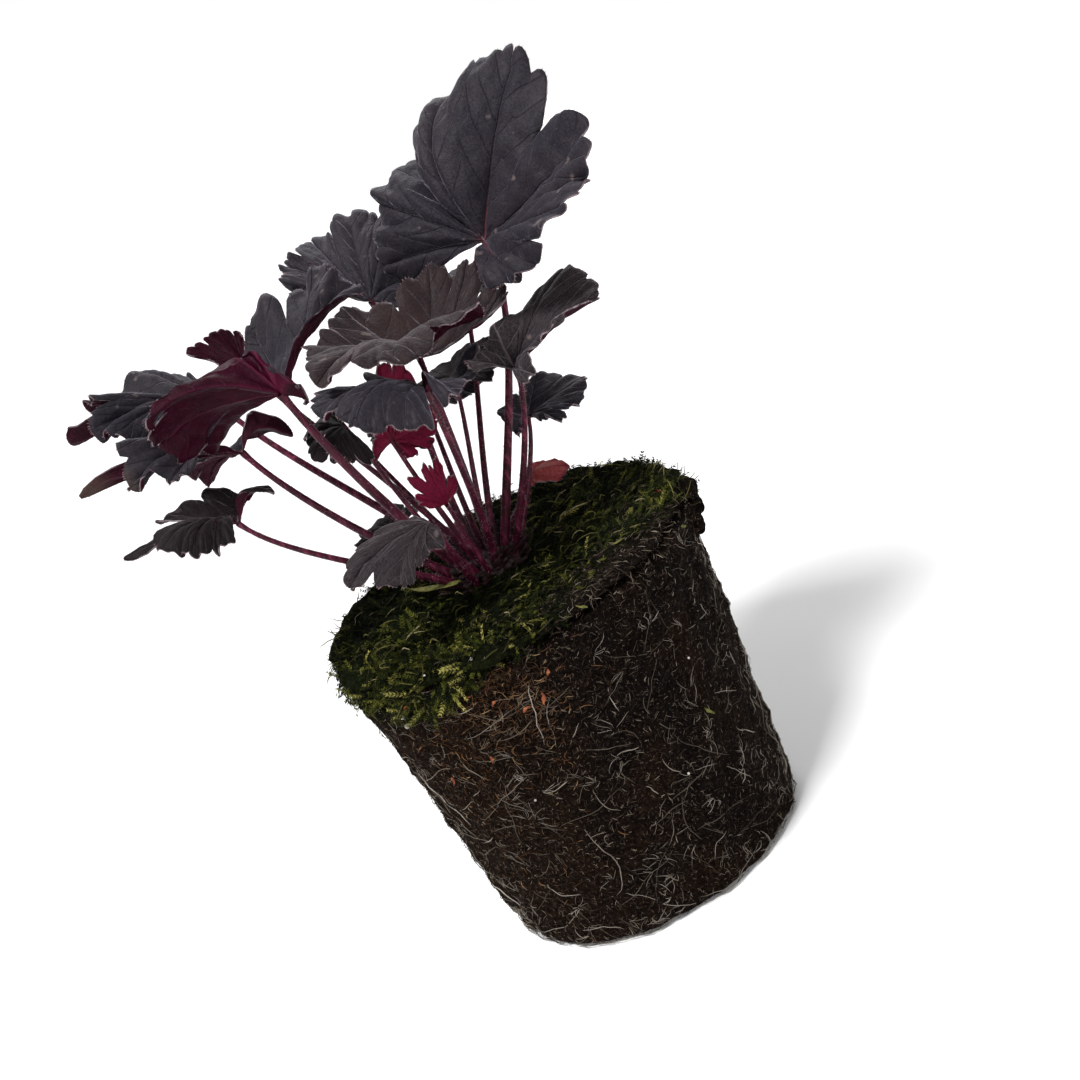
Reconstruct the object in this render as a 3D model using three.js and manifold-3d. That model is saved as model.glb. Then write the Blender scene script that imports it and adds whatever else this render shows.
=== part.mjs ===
// A dark-leaved coral bells plant knocked out of its one-litre pot: a tapered root ball of peat standing
// on its flat base, a mat of moss over it, and a clump of long-stalked, lobed and ruffled leaves round a
// short crown. Millimetres, +Z up, origin at the middle of the root ball's base, front towards -Y.

import * as THREE from "three";
import { mergeVertices } from "three/addons/utils/BufferGeometryUtils.js";
import Module from "manifold-3d";

const wasm = await Module();
wasm.setup();

// Root ball: the shape of the inside of a round one-litre pot
const BALL_TOP_RADIUS = 59.0;
const BALL_BASE_RADIUS = 49.5;
const BALL_HEIGHT = 105.0;
const BALL_CORNER = 3.5;
const BALL_RELIEF = 0.8;
const BALL_SIDES = 40;
const BALL_ROWS = 7;
const BALL_LUMPS = 31;
const BALL_GRAIN = 13;
const BALL_GRAIN_SHARE = 0.7;
const BALL_BASE_RING = 0.55;

// Moss mat on the peat
const MOSS_THICKNESS = 3.4;
const MOSS_RELIEF = 1.2;
const MOSS_LUMPS = 24;
const MOSS_LUMPS_AT = 3;
const MOSS_GRAIN = 11;
const MOSS_GRAIN_AT = 7;
const MOSS_GRAIN_SHARE = 0.8;
const MOSS_EDGE = 60.0;
const MOSS_THINS_FROM = 0.85;
const MOSS_THINS_BY = 0.8;
const MOSS_UNDERCUT = 0.975;
const MOSS_BARE_BEARING = -55;
const MOSS_BARE_DEPTH = 4.0;
const MOSS_SIDES = 52;
const MOSS_RINGS = [0.32, 0.5, 0.66, 0.8, 0.92, 1];

// Uneven margin of the moss: waves round the ball, height and phase
const MOSS_WAVES = [
  [7, 0.9, 1],
  [13, 0.7, 0],
  [23, 0.5, 0],
];

// Crown, a short knob of old stalk bases
const CROWN_AT = [-3.0, 4.0];
const CROWN_RADIUS = 12.0;
const CROWN_TOP = 112.5;
const CROWN_DEPTH = 6.0;
const CROWN_DOME = 5.0;
const CROWN_SHOULDER = 2.2;
const CROWN_FOOT_SHARE = 0.7;
const CROWN_SHOULDER_SHARE = 0.8;
const CROWN_TOP_SHARE = 0.4;
const CROWN_SIDES = 16;

// Bud scales on the crown: bearing from +X, distance from the middle, lean outwards in degrees, length
const SCALES = [
  [-100, 8, 35, 6.0],
  [-35, 10, 50, 5.0],
  [40, 10.5, 45, 4.5],
  [110, 10, 50, 5.0],
  [175, 10.5, 55, 4.5],
];
const SCALE_WIDTH = 0.38;
const SCALE_THICKNESS = 0.16;
const SCALE_RISE = 0.6;
const SCALE_SUNK = 3.0;
const SCALE_SIDES = 6;
const SCALE_ROWS = 4;

// Leaf blades
const BLADE_THICKNESS = 0.8;
const LARGE_BLADE = 24;
const LARGE_BLADE_RINGS = [0.3, 0.65, 1];
const SMALL_BLADE_RINGS = [0.5, 1];
const END_VEIN_SHARE = 0.85;
const LOBE_DEPTH = 0.18;
const LOBE_ROUNDING = 0.25;
const LEAST_CUT = -0.15;
const CUT_ROUNDING = 1.5;
const TEETH = 5;
const TOOTH_DEPTH = 0.045;
const TOOTH_ROUNDING = 0.5;
const TOOTH_STEPS = 2;
const RUFFLE = 0.04;
const RUFFLE_TURN = 5.2;
const NORMAL_STEP = 0.02;

// Leaf stalks
const STALK_BASE_RADIUS = 1.5;
const STALK_TIP_RADIUS = 0.75;
const STALK_SIDES = 5;
const STALK_STEPS = 7;
const STALK_SUNK = 4.0;
const STALK_TAPER = 0.7;
const STALK_SWEEP = 0.9;
const STALK_LEAVES_OVER = 0.3;
const STALK_ARRIVES_OVER = 0.25;
const STALK_LEAST = 0.7;
const STALK_MOST = 1.1;
const STALK_START = 0.55;
const STALK_GROWTH = 90;

// Clearance between neighbouring solids
const GAP = 0.35;

const FINISHES = {
  peat: { color: 0x2b2019, roughness: 0.95 },
  moss: { color: 0x36451a, roughness: 0.95 },
  blade: { color: 0x2c2a33, roughness: 0.6 },
  young: { color: 0x6e1430, roughness: 0.55 },
  faded: { color: 0xa8503c, roughness: 0.7 },
  stalk: { color: 0x6b2638, roughness: 0.6 },
  crown: { color: 0x4a1a22, roughness: 0.8 },
};

// The leaves. at is where the stalk meets the blade and root its place on the crown: a bearing from +X and
// a distance. face is the way the upper side looks. veins are the blade's main veins, one to a lobe, going
// clockwise round the upper side: where each ends, as steps from the stalk along X, Y and Z, how far it bows
// towards the face halfway, and, where given, how much deeper than usual the notches beside its lobe are, or
// shallower where that is less than nothing.
// teeth, where given, is the teeth to a lobe, and stout how much thicker than a usual stalk that one is.
const LEAVES = [
  {
    name: "01", at: [41, 12, 196.5], root: [5, 6], face: [-0.6, -0.4, 0.7],
    veins: [
      [-29, 20, 2, 3], [-23, 22, 21, 5, -0.1], [-3, 32, 26, 9, -0.1], [13, 30, 42, 13, 0.08],
      [36, 12, 43, 3, 0.16], [41, -22, 18, 0, 0.12], [25, -36, 6, 1], [3, -24, -8, 3],
    ],
  },
  {
    name: "02", at: [3, 24, 194], root: [110, 5], face: [-0.3, -0.5, 0.8],
    veins: [
      [-21, 8, 14, 2], [-19, 18, 20, 2], [-8, 26, 20, 2], [7, 30, 21, 2], [20, 26, 14, 2],
      [15, 14, -3, 2], [10, -3, -5, 0],
    ],
  },
  {
    name: "03", at: [-31, -14, 191.5], root: [225, 7.5], face: [0, 0, 1], stout: 1.35,
    veins: [
      [6, -5, -1, 3], [-2, 8, 3, 11], [-14, 10, 7, 10], [-34, -12, 16, 6], [-39, 8, 0, 5],
      [-24, 18, -10, 3], [-1, 40, 13, -5], [24, 41, 19, -2], [33, 32, 11, 4],
    ],
  },
  {
    name: "04", at: [8, -8, 180], root: [315, 3], face: [0, 0, 1],
    veins: [
      [21, -10, 7, 3], [-6, -28, 9, 7], [-28, -22, 15, 6], [-26, 0, 19, 0], [-13, 14, 19, -2],
      [15, 27, 15, -4], [26, 22, 13, -4], [32, 10, 4, -3],
    ],
  },
  {
    name: "05", at: [-54, 38, 187.5], root: [150, 6.5], face: [0, 0, 1],
    veins: [
      [-16, -16, 1, 3], [-28, -20, 7, 4], [-34, -18, 13, 3], [-31, -10, 21, 0], [-44, -4, 11, 0, 0.2],
      [-17, 14, 14, 2], [-6, 18, 5, 0],
    ],
  },
  {
    name: "06", at: [-52, 14, 174.5], root: [180, 9.5], face: [0, 0, 1],
    veins: [
      [-20, -14, 7, 5], [-32, -16, 11, 5], [-29, -10, 22, 3], [-48, -2, 11, 4, 0.7], [-22, 10, -1, 2],
      [-12, 10, -5, 2], [15, 6, -1, 5, 0.2],
    ],
  },
  {
    name: "07", at: [-60.5, -12, 163.5], root: [200, 10.5], face: [0, 0, 1],
    veins: [
      [-4, -20, 1, 5], [-12, -24, 4, 6], [-19, -20, 9, 5], [-33, -2, 7, 3, 0.7], [-18, 12, 10, 0],
      [1, 18, 5, -2], [13, 6, 1, 5, 0.3],
    ],
  },
  {
    name: "08", at: [-39, 24, 194], root: [165, 3], face: [0, 1, 0], teeth: 4,
    veins: [[2, 2, 5, 1], [3, 6, 9, 1], [-3, 8, 13, 1], [-14, 6, 12, 1], [-8, 2, 6, 1]],
  },
  {
    name: "09", at: [5.5, -24, 175], root: [290, 6.5], face: [0, 0, 1],
    veins: [
      [-9, -22, -2, 6], [-21, -24, 6, 8], [-30, -6, 12, 4], [-26, 13, 10, 0], [-12, 24, 6, -5, 0.5],
      [19, 21, -2, -4, 0.5], [7, -14, -2, 4],
    ],
  },
  {
    name: "10", at: [-11, 6, 158], root: [230, 3.5], face: [0, 1, 0.3], teeth: 4,
    veins: [
      [3, 0, -7, 1], [9, 2, -8, 1], [15, 4, -2, 1], [14, 6, 16, 1], [8, 2, 22, 1], [-1, -2, 10, 1],
      [-7, -2, -1, 1],
    ],
  },
  {
    name: "11", at: [14, 22, 162], root: [40, 2.5], face: [0, 0, 1], teeth: 4,
    veins: [[-4, -14, -2, 1], [-12, 4, 0, 1], [2, 18, 1, 1], [18, 8, 2, 1], [12, -10, -2, 1]],
  },
  {
    name: "12", at: [31, -8, 163.5], root: [335, 8.5], face: [-0.4, -0.5, 0.7], teeth: 4,
    veins: [
      [-11, -12, 12, 2], [1, 4, 13, 1, 0.2], [27, 14, 16, 3, -0.1], [31, 0, 8, 3, -0.1], [13, -6, 8, 1, 0.1],
      [3, -14, 1, 2],
    ],
  },
  {
    name: "13", at: [28.5, 22, 139.5], root: [20, 10.5], face: [-0.2, -0.4, 0.9], teeth: 4,
    veins: [
      [-6, -10, 0, 1], [-7, -2, 7, 1], [10, 14, 6, 1], [22, 6, 0, 1], [16, -6, -2, 2], [8, -12, -2, 2],
      [4, -10, 0, 1],
    ],
  },
  {
    name: "14", at: [-21, 2, 170], root: [195, 6], face: [-0.2, -0.4, 0.9], teeth: 4,
    veins: [[2, -6, -12, 1], [-5, -10, -7, 2], [-12, -10, -2, 2], [-11, -2, 3, 1], [-3, 6, 4, 0]],
  },
  {
    name: "15", at: [-11.5, -26, 141], root: [240, 11], face: [-0.3, -0.3, 0.9], teeth: 4,
    veins: [[-4, -6, -7, 2], [-16, -16, -7, 3], [-29, -14, 0, 3], [-20, 0, 3, 2], [-11, 10, 1, 1]],
  },
  {
    name: "16", at: [-20.5, 20, 128], root: [142, 11], face: [-0.3, -0.3, 0.9], teeth: 4,
    veins: [[-7, -6, -1, 1], [-17, -2, 2, 1], [-12, 4, 3, 1], [-1, 10, 4, 1], [4, 8, 1, 1]],
  },
  {
    name: "17", at: [-5.5, -10, 138], root: [262, 8.5], face: [0, -1, 0.2], teeth: 3, young: true,
    veins: [
      [-7, -4, 7, 0, 0.4], [-6, -4, 14, 1, 0.45], [0, -2, 15, 1, 0.45], [4, 0, 14, 1, 0.45],
      [6, 2, 5, 0, 0.4],
    ],
  },
  {
    name: "18", at: [20, 32, 118.5], root: [60, 11], face: [0, -0.5, 0.9], teeth: 2, faded: true,
    veins: [[2, -4, -2, 0], [9, -4, -4, 1], [13, 1, -3, 2], [9, 5, 0, 1], [3, 4, 2, 0]],
  },
  {
    name: "19", at: [30, 52, 179], root: [60, 7], face: [0, 0, 1], teeth: 4,
    veins: [
      [-16, -6, -3, 3], [-20, 12, -3, 3], [-7, 25, -4, 3], [13, 23, -6, 3], [25, 7, -5, 3],
      [19, -11, -4, 3], [4, -17, -3, 2],
    ],
  },
  {
    name: "20", at: [-24, 44, 162], root: [115, 9.5], face: [0, 0, 1], teeth: 4,
    veins: [[-8, -7, -2, 2], [-13, 8, -3, 2], [2, 17, -4, 2], [14, 6, -3, 2], [7, -9, -2, 2]],
  },
  {
    name: "21", at: [2, 46, 154], root: [90, 9], face: [0, 0, 1], teeth: 4,
    veins: [
      [-12, -10, -4, 2], [-21, 4, -5, 3], [-16, 18, -6, 3], [2, 25, -7, 3], [18, 16, -6, 3],
      [21, 0, -5, 3], [10, -11, -4, 2],
    ],
  },
];

// Directions and curves

const vector = (v) => new THREE.Vector3(...v);
const radians = THREE.MathUtils.degToRad;

// Fixed unevenness of a surface, from -1 to 1, with lumps about one wavelength apart
function lumps(x, y, z, wavelength) {
  const k = (2 * Math.PI) / wavelength;
  const a = Math.sin(k * (x + 0.6 * y) + 1.3) * Math.sin(k * (0.8 * y - 0.5 * z) + 0.4);
  const b = Math.sin(k * 1.7 * (z + 0.4 * x) + 2.1) * Math.sin(k * 1.6 * (x - 0.7 * y) + 0.9);
  return 0.6 * a + 0.4 * b;
}

// A body from its corner points and the triangles between them
function geometryOf(points, triangles) {
  const geometry = new THREE.BufferGeometry();
  const coordinates = points.flatMap((p) => [p.x, p.y, p.z]);
  geometry.setAttribute("position", new THREE.Float32BufferAttribute(coordinates, 3));
  geometry.setIndex(triangles.flat());
  return geometry;
}

// Solids for cutting and joining

function solidOf(geometry) {
  const bare = geometry.clone();
  bare.deleteAttribute("normal");
  bare.deleteAttribute("uv");
  const merged = mergeVertices(bare, 1e-4);
  return new wasm.Manifold(
    new wasm.Mesh({
      numProp: 3,
      vertProperties: merged.attributes.position.array,
      triVerts: new Uint32Array(merged.index.array),
    }),
  );
}

function geometryFrom(solid) {
  const { vertProperties, triVerts } = solid.getMesh();
  const geometry = new THREE.BufferGeometry();
  geometry.setAttribute("position", new THREE.BufferAttribute(vertProperties, 3));
  geometry.setIndex(new THREE.BufferAttribute(triVerts, 1));
  return geometry;
}

// The largest single body of a solid, without the scraps that a cut leaves
function largest(solid) {
  return solid.decompose().reduce((a, b) => (b.volume() > a.volume() ? b : a));
}

// Length of a leaf's longest vein
const bladeSize = (leaf) => Math.max(...leaf.veins.map(([x, y, z]) => Math.hypot(x, y, z)));

// A leaf's veins with two made-up ones beyond each end, so that the smooth curve through them can start
function veinRows(leaf) {
  const rows = leaf.veins.map((vein) => [...vein, 0].slice(0, 5));
  const beyond = (end, inner) => {
    const row = end.map((value, k) => 2 * value - inner[k]);
    const shrink = (END_VEIN_SHARE * Math.hypot(...end.slice(0, 3))) / Math.hypot(...row.slice(0, 3));
    return row.map((value, k) => (k < 3 ? value * shrink : value));
  };
  const further = (row, inner) => row.map((value, k) => 2 * value - inner[k]);
  const first = beyond(rows[0], rows[1]);
  const last = beyond(rows.at(-1), rows.at(-2));
  return [further(first, rows[0]), first, ...rows, last, further(last, rows.at(-1))];
}

// The vein that a leaf would have at a place counted in lobes, 0 being the first vein
function veinAt(leaf, place) {
  const rows = veinRows(leaf);
  const k = THREE.MathUtils.clamp(Math.floor(place), -1, leaf.veins.length - 1);
  const t = place - k;
  const [a, b, c, d] = [1, 2, 3, 4].map((n) => rows[k + n]);
  return b.map((value, n) => {
    const slope = c[n] - a[n];
    const bend = 2 * a[n] - 5 * value + 4 * c[n] - d[n];
    const twist = 3 * value - a[n] - 3 * c[n] + d[n];
    return 0.5 * (2 * value + slope * t + bend * t ** 2 + twist * t ** 3);
  });
}

// Point of the blade's middle surface, at a place counted in lobes and a share of the way to the margin
function bladePoint(leaf, place, share) {
  const [x, y, z, bow, deeper] = veinAt(leaf, place);
  const cut = THREE.MathUtils.clamp(deeper, LEAST_CUT, 1);
  const w = place - Math.round(place);
  const lobe = Math.abs(Math.cos(Math.PI * w)) ** (LOBE_ROUNDING + CUT_ROUNDING * cut);
  const phase = Math.PI * (leaf.teeth ?? TEETH) * (w + 0.5);
  const tooth = Math.abs(Math.sin(phase)) ** TOOTH_ROUNDING;
  const reach = share * (1 - (LOBE_DEPTH + cut) * (1 - lobe)) * (1 - TOOTH_DEPTH * (1 - tooth));
  const size = bladeSize(leaf);
  const wave = RUFFLE * size * share ** 2 * Math.sin(RUFFLE_TURN * place + size);
  return vector(leaf.at)
    .add(new THREE.Vector3(x, y, z).multiplyScalar(reach))
    .addScaledVector(vector(leaf.face).normalize(), bow * 4 * reach * (1 - reach) + wave);
}

// Normal of the blade's upper side there
function bladeNormal(leaf, place, share) {
  if (share === 0) return vector(leaf.face).normalize();
  const inner = share * (1 - NORMAL_STEP);
  const radial = bladePoint(leaf, place, share).sub(bladePoint(leaf, place, share - NORMAL_STEP));
  const before = bladePoint(leaf, place - 2 * NORMAL_STEP, inner);
  const across = bladePoint(leaf, place + 2 * NORMAL_STEP, inner).sub(before);
  return across.cross(radial).normalize();
}

// A blade as a thin solid, split into triangles alike on both faces
function bladeGeometry(leaf) {
  const lobes = leaf.veins.length;
  const steps = lobes * (leaf.teeth ?? TEETH) * TOOTH_STEPS;
  const shares = bladeSize(leaf) > LARGE_BLADE ? LARGE_BLADE_RINGS : SMALL_BLADE_RINGS;
  const points = [];
  const place = (at, share) => {
    const p = bladePoint(leaf, at, share);
    const n = bladeNormal(leaf, at, share).multiplyScalar(BLADE_THICKNESS / 2);
    points.push(p.clone().add(n), p.clone().sub(n));
  };
  place(0, 0);
  for (const share of shares)
    for (let i = 0; i <= steps; i += 1) place(-0.5 + (lobes * i) / steps, share);

  const triangles = [];
  const both = (a, b, c) => triangles.push([2 * a, 2 * b, 2 * c], [2 * a + 1, 2 * c + 1, 2 * b + 1]);
  const wall = (a, b) => triangles.push([2 * a, 2 * a + 1, 2 * b], [2 * b, 2 * a + 1, 2 * b + 1]);
  const at = (ring, i) => 1 + ring * (steps + 1) + i;
  for (let i = 0; i < steps; i += 1) {
    both(0, at(0, i + 1), at(0, i));
    for (let ring = 1; ring < shares.length; ring += 1) {
      both(at(ring - 1, i), at(ring - 1, i + 1), at(ring, i + 1));
      both(at(ring - 1, i), at(ring, i + 1), at(ring, i));
    }
    wall(at(shares.length - 1, i + 1), at(shares.length - 1, i));
  }
  const edge = [0, ...shares.map((_, ring) => at(ring, 0))];
  const farEdge = [0, ...shares.map((_, ring) => at(ring, steps))];
  for (let k = 0; k < shares.length; k += 1) {
    wall(edge[k + 1], edge[k]);
    wall(farEdge[k], farEdge[k + 1]);
  }
  return geometryOf(points, triangles);
}

// Where a stalk starts on the crown, and the way it leaves
function stalkRoot(leaf) {
  const [bearing, distance] = leaf.root;
  const out = new THREE.Vector3(Math.cos(radians(bearing)), Math.sin(radians(bearing)), 0);
  const height = CROWN_TOP - (distance / CROWN_RADIUS) ** 2 * CROWN_DOME;
  return {
    start: new THREE.Vector3(CROWN_AT[0], CROWN_AT[1], height).addScaledVector(out, distance),
    leaving: out.multiplyScalar(distance / CROWN_RADIUS).setZ(1).normalize(),
  };
}

// The line of a stalk, from inside the crown to just under the blade
function stalkCurve(leaf) {
  const n = vector(leaf.face).normalize();
  const { start, leaving } = stalkRoot(leaf);
  const end = vector(leaf.at).addScaledVector(n, -BLADE_THICKNESS / 2 - GAP);
  const length = end.distanceTo(start);
  const arriving = end.clone().sub(start).normalize().addScaledVector(n, STALK_SWEEP).normalize();
  return new THREE.CubicBezierCurve3(
    start.clone().addScaledVector(leaving, -STALK_SUNK),
    start.clone().addScaledVector(leaving, length * STALK_LEAVES_OVER),
    end.clone().addScaledVector(arriving, -length * STALK_ARRIVES_OVER),
    end,
  );
}

// How thick a stalk is beside the usual: stalks of big leaves are thicker, and one is stouter still
function stalkScale(leaf) {
  const grown = STALK_START + bladeSize(leaf) / STALK_GROWTH;
  return leaf.stout ?? THREE.MathUtils.clamp(grown, STALK_LEAST, STALK_MOST);
}

// A stalk as a tapered tube with closed ends; extra widens it, for the hole that it stands in
function stalkGeometry(leaf, extra = 0) {
  const curve = stalkCurve(leaf);
  const points = [];
  const side = new THREE.Vector3(0, 0, 1).cross(curve.getTangent(0)).normalize();
  for (let k = 0; k <= STALK_STEPS; k += 1) {
    const t = k / STALK_STEPS;
    const along = curve.getTangent(t);
    const centre = curve.getPoint(t);
    side.addScaledVector(along, -side.dot(along)).normalize();
    const other = along.clone().cross(side);
    const taper = THREE.MathUtils.lerp(STALK_BASE_RADIUS, STALK_TIP_RADIUS, t ** STALK_TAPER);
    const radius = taper * stalkScale(leaf) + extra;
    for (let i = 0; i < STALK_SIDES; i += 1) {
      const turn = (2 * Math.PI * i) / STALK_SIDES;
      points.push(
        centre
          .clone()
          .addScaledVector(side, radius * Math.cos(turn))
          .addScaledVector(other, radius * Math.sin(turn)),
      );
    }
  }
  const triangles = [];
  const at = (k, i) => k * STALK_SIDES + (i % STALK_SIDES);
  for (let k = 0; k < STALK_STEPS; k += 1)
    for (let i = 0; i < STALK_SIDES; i += 1) {
      triangles.push([at(k, i), at(k, i + 1), at(k + 1, i + 1)]);
      triangles.push([at(k, i), at(k + 1, i + 1), at(k + 1, i)]);
    }
  const last = STALK_STEPS;
  for (let i = 1; i < STALK_SIDES - 1; i += 1)
    triangles.push([at(0, 0), at(0, i + 1), at(0, i)], [at(last, 0), at(last, i), at(last, i + 1)]);
  return geometryOf(points, triangles);
}

// Root ball: a turned profile, roughened everywhere but on the flat base
function rootBallGeometry() {
  const profile = [new THREE.Vector2(0, 0), new THREE.Vector2(BALL_BASE_RADIUS * BALL_BASE_RING, 0)];
  profile.push(new THREE.Vector2(BALL_BASE_RADIUS - BALL_CORNER, 0));
  for (let k = 0; k <= BALL_ROWS; k += 1) {
    const z = BALL_CORNER + ((BALL_HEIGHT - 2 * BALL_CORNER) * k) / BALL_ROWS;
    const radius = THREE.MathUtils.lerp(BALL_BASE_RADIUS, BALL_TOP_RADIUS, z / BALL_HEIGHT);
    profile.push(new THREE.Vector2(radius, z));
  }
  profile.push(new THREE.Vector2(BALL_TOP_RADIUS - BALL_CORNER, BALL_HEIGHT));
  profile.push(new THREE.Vector2(0, BALL_HEIGHT));
  const geometry = new THREE.LatheGeometry(profile, BALL_SIDES).rotateX(Math.PI / 2);
  const place = geometry.attributes.position;
  for (let i = 0; i < place.count; i += 1) {
    const p = new THREE.Vector3().fromBufferAttribute(place, i);
    if (p.z < BALL_CORNER / 2 || p.z > BALL_HEIGHT - BALL_CORNER / 2) continue;
    const relief = lumps(p.x, p.y, p.z, BALL_LUMPS) + BALL_GRAIN_SHARE * lumps(p.y, p.z, p.x, BALL_GRAIN);
    const push = BALL_RELIEF * relief;
    const radius = Math.hypot(p.x, p.y);
    place.setXYZ(i, p.x * (1 + push / radius), p.y * (1 + push / radius), p.z);
  }
  return geometry;
}

// How far the moss reaches at a bearing: it thins out at the front right, where bare peat shows
function mossReach(bearing) {
  const bare = Math.max(0, Math.cos(bearing - radians(MOSS_BARE_BEARING))) ** 3 * MOSS_BARE_DEPTH;
  const waves = MOSS_WAVES.map(([count, height, phase]) => height * Math.sin(count * bearing + phase));
  return MOSS_EDGE - bare + waves.reduce((sum, wave) => sum + wave);
}

// Moss mat: a lumpy disc with a thin uneven edge, flat underneath
function mossGeometry() {
  const floor = BALL_HEIGHT + GAP;
  const points = [new THREE.Vector3(0, 0, floor + MOSS_THICKNESS), new THREE.Vector3(0, 0, floor)];
  for (let i = 0; i < MOSS_SIDES; i += 1) {
    const bearing = (2 * Math.PI * i) / MOSS_SIDES;
    const reach = mossReach(bearing);
    const x = Math.cos(bearing);
    const y = Math.sin(bearing);
    for (const share of MOSS_RINGS) {
      const radius = share * reach;
      const coarse = lumps(radius * x, radius * y, MOSS_LUMPS_AT, MOSS_LUMPS);
      const fine = MOSS_GRAIN_SHARE * lumps(radius * y, radius * x, MOSS_GRAIN_AT, MOSS_GRAIN);
      const past = Math.max(0, (share - MOSS_THINS_FROM) / (1 - MOSS_THINS_FROM));
      const thinning = Math.sqrt(1 - MOSS_THINS_BY * past ** 2);
      const height = (MOSS_THICKNESS + MOSS_RELIEF * (coarse + fine)) * thinning;
      points.push(new THREE.Vector3(radius * x, radius * y, floor + height));
    }
    points.push(new THREE.Vector3(MOSS_UNDERCUT * reach * x, MOSS_UNDERCUT * reach * y, floor));
  }
  const row = MOSS_RINGS.length + 1;
  const at = (i, k) => 2 + (i % MOSS_SIDES) * row + k;
  const triangles = [];
  for (let i = 0; i < MOSS_SIDES; i += 1) {
    triangles.push([0, at(i, 0), at(i + 1, 0)], [1, at(i + 1, row - 1), at(i, row - 1)]);
    for (let k = 0; k < row - 1; k += 1) {
      triangles.push([at(i, k), at(i, k + 1), at(i + 1, k + 1)]);
      triangles.push([at(i, k), at(i + 1, k + 1), at(i + 1, k)]);
    }
  }
  return geometryOf(points, triangles);
}

// Crown: a knob sunk in the peat; extra widens it, for the hole that it stands in
function knobGeometry(extra = 0) {
  const profile = [
    new THREE.Vector2(0, BALL_HEIGHT - CROWN_DEPTH - extra),
    new THREE.Vector2(CROWN_RADIUS * CROWN_FOOT_SHARE + extra, BALL_HEIGHT - CROWN_DEPTH - extra),
    new THREE.Vector2(CROWN_RADIUS + extra, (BALL_HEIGHT + CROWN_TOP) / 2),
    new THREE.Vector2(CROWN_RADIUS * CROWN_SHOULDER_SHARE + extra, CROWN_TOP - CROWN_SHOULDER + extra),
    new THREE.Vector2(CROWN_RADIUS * CROWN_TOP_SHARE + extra, CROWN_TOP + extra),
    new THREE.Vector2(0, CROWN_TOP + extra),
  ];
  return new THREE.LatheGeometry(profile, CROWN_SIDES).rotateX(Math.PI / 2).translate(...CROWN_AT, 0);
}

// Crown with its pointed bud scales and a socket for each stalk
function crownGeometry(sockets) {
  const knob = SCALES.map(([bearing, distance, lean, length]) =>
    solidOf(
      new THREE.SphereGeometry(1, SCALE_SIDES, SCALE_ROWS)
        .scale(length * SCALE_WIDTH, length * SCALE_THICKNESS, length)
        .translate(0, 0, length * SCALE_RISE)
        .rotateX(radians(lean))
        .rotateZ(radians(bearing + 90))
        .translate(
          CROWN_AT[0] + distance * Math.cos(radians(bearing)),
          CROWN_AT[1] + distance * Math.sin(radians(bearing)),
          CROWN_TOP - SCALE_SUNK,
        ),
    ),
  ).reduce((sum, scale) => sum.add(scale), solidOf(knobGeometry()));
  return geometryFrom(largest(sockets.reduce((sum, socket) => sum.subtract(socket), knob)));
}

// The assembly

const plant = new THREE.Group();

function addPiece(name, geometry, finish) {
  const material = new THREE.MeshStandardMaterial({ metalness: 0, ...FINISHES[finish] });
  const mesh = new THREE.Mesh(geometry, material);
  mesh.name = name;
  plant.add(mesh);
}

const sockets = LEAVES.map((leaf) => solidOf(stalkGeometry(leaf, GAP)));
const crownHole = solidOf(knobGeometry(GAP));
const mossHoles = [crownHole, ...sockets];
const moss = mossHoles.reduce((mat, hole) => mat.subtract(hole), solidOf(mossGeometry()));
addPiece("root_ball", geometryFrom(solidOf(rootBallGeometry()).subtract(crownHole)), "peat");
addPiece("moss_mat", geometryFrom(largest(moss)), "moss");
addPiece("crown", crownGeometry(sockets), "crown");
for (const leaf of LEAVES) {
  const finish = leaf.young ? "young" : leaf.faded ? "faded" : "blade";
  addPiece(`leaf_${leaf.name}_blade`, bladeGeometry(leaf), finish);
  addPiece(`leaf_${leaf.name}_stalk`, stalkGeometry(leaf), "stalk");
}

export default plant;
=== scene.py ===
import math

import bpy
import numpy as np
from mathutils import Matrix, Vector


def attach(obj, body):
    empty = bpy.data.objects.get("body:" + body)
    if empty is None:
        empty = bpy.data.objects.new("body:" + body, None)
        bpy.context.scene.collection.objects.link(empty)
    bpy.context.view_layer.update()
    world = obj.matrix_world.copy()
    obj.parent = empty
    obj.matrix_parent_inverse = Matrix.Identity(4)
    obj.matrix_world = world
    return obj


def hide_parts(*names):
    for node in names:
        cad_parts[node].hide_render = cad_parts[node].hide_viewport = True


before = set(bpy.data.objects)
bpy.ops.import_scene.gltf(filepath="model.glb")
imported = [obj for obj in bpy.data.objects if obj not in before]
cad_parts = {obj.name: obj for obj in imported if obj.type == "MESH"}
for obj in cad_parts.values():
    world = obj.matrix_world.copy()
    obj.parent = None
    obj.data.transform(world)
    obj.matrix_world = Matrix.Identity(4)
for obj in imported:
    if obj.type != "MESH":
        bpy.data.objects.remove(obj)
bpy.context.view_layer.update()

# A dark-leaved coral bells plant out of its pot: a moss-topped root ball of peat standing on its flat base,
# and a clump of lobed, ruffled leaves on slender stalks. Metres, +Z up, front towards -Y. Sizes that follow
# the plant's own solids are written in millimetres and scaled by MM.
MM = 0.001

# Camera: in front of the plant and a little above it, rolled sideways as the picture was taken, so that the
# plant leans to the left in the frame.
CAMERA_AIM = Vector((13.7, 0.4, 110.1)) * MM
CAMERA_DISTANCE = 600 * MM
CAMERA_ELEVATION = math.radians(21)
CAMERA_ROLL = math.radians(28.3)
CAMERA_LENS = 66

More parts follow.
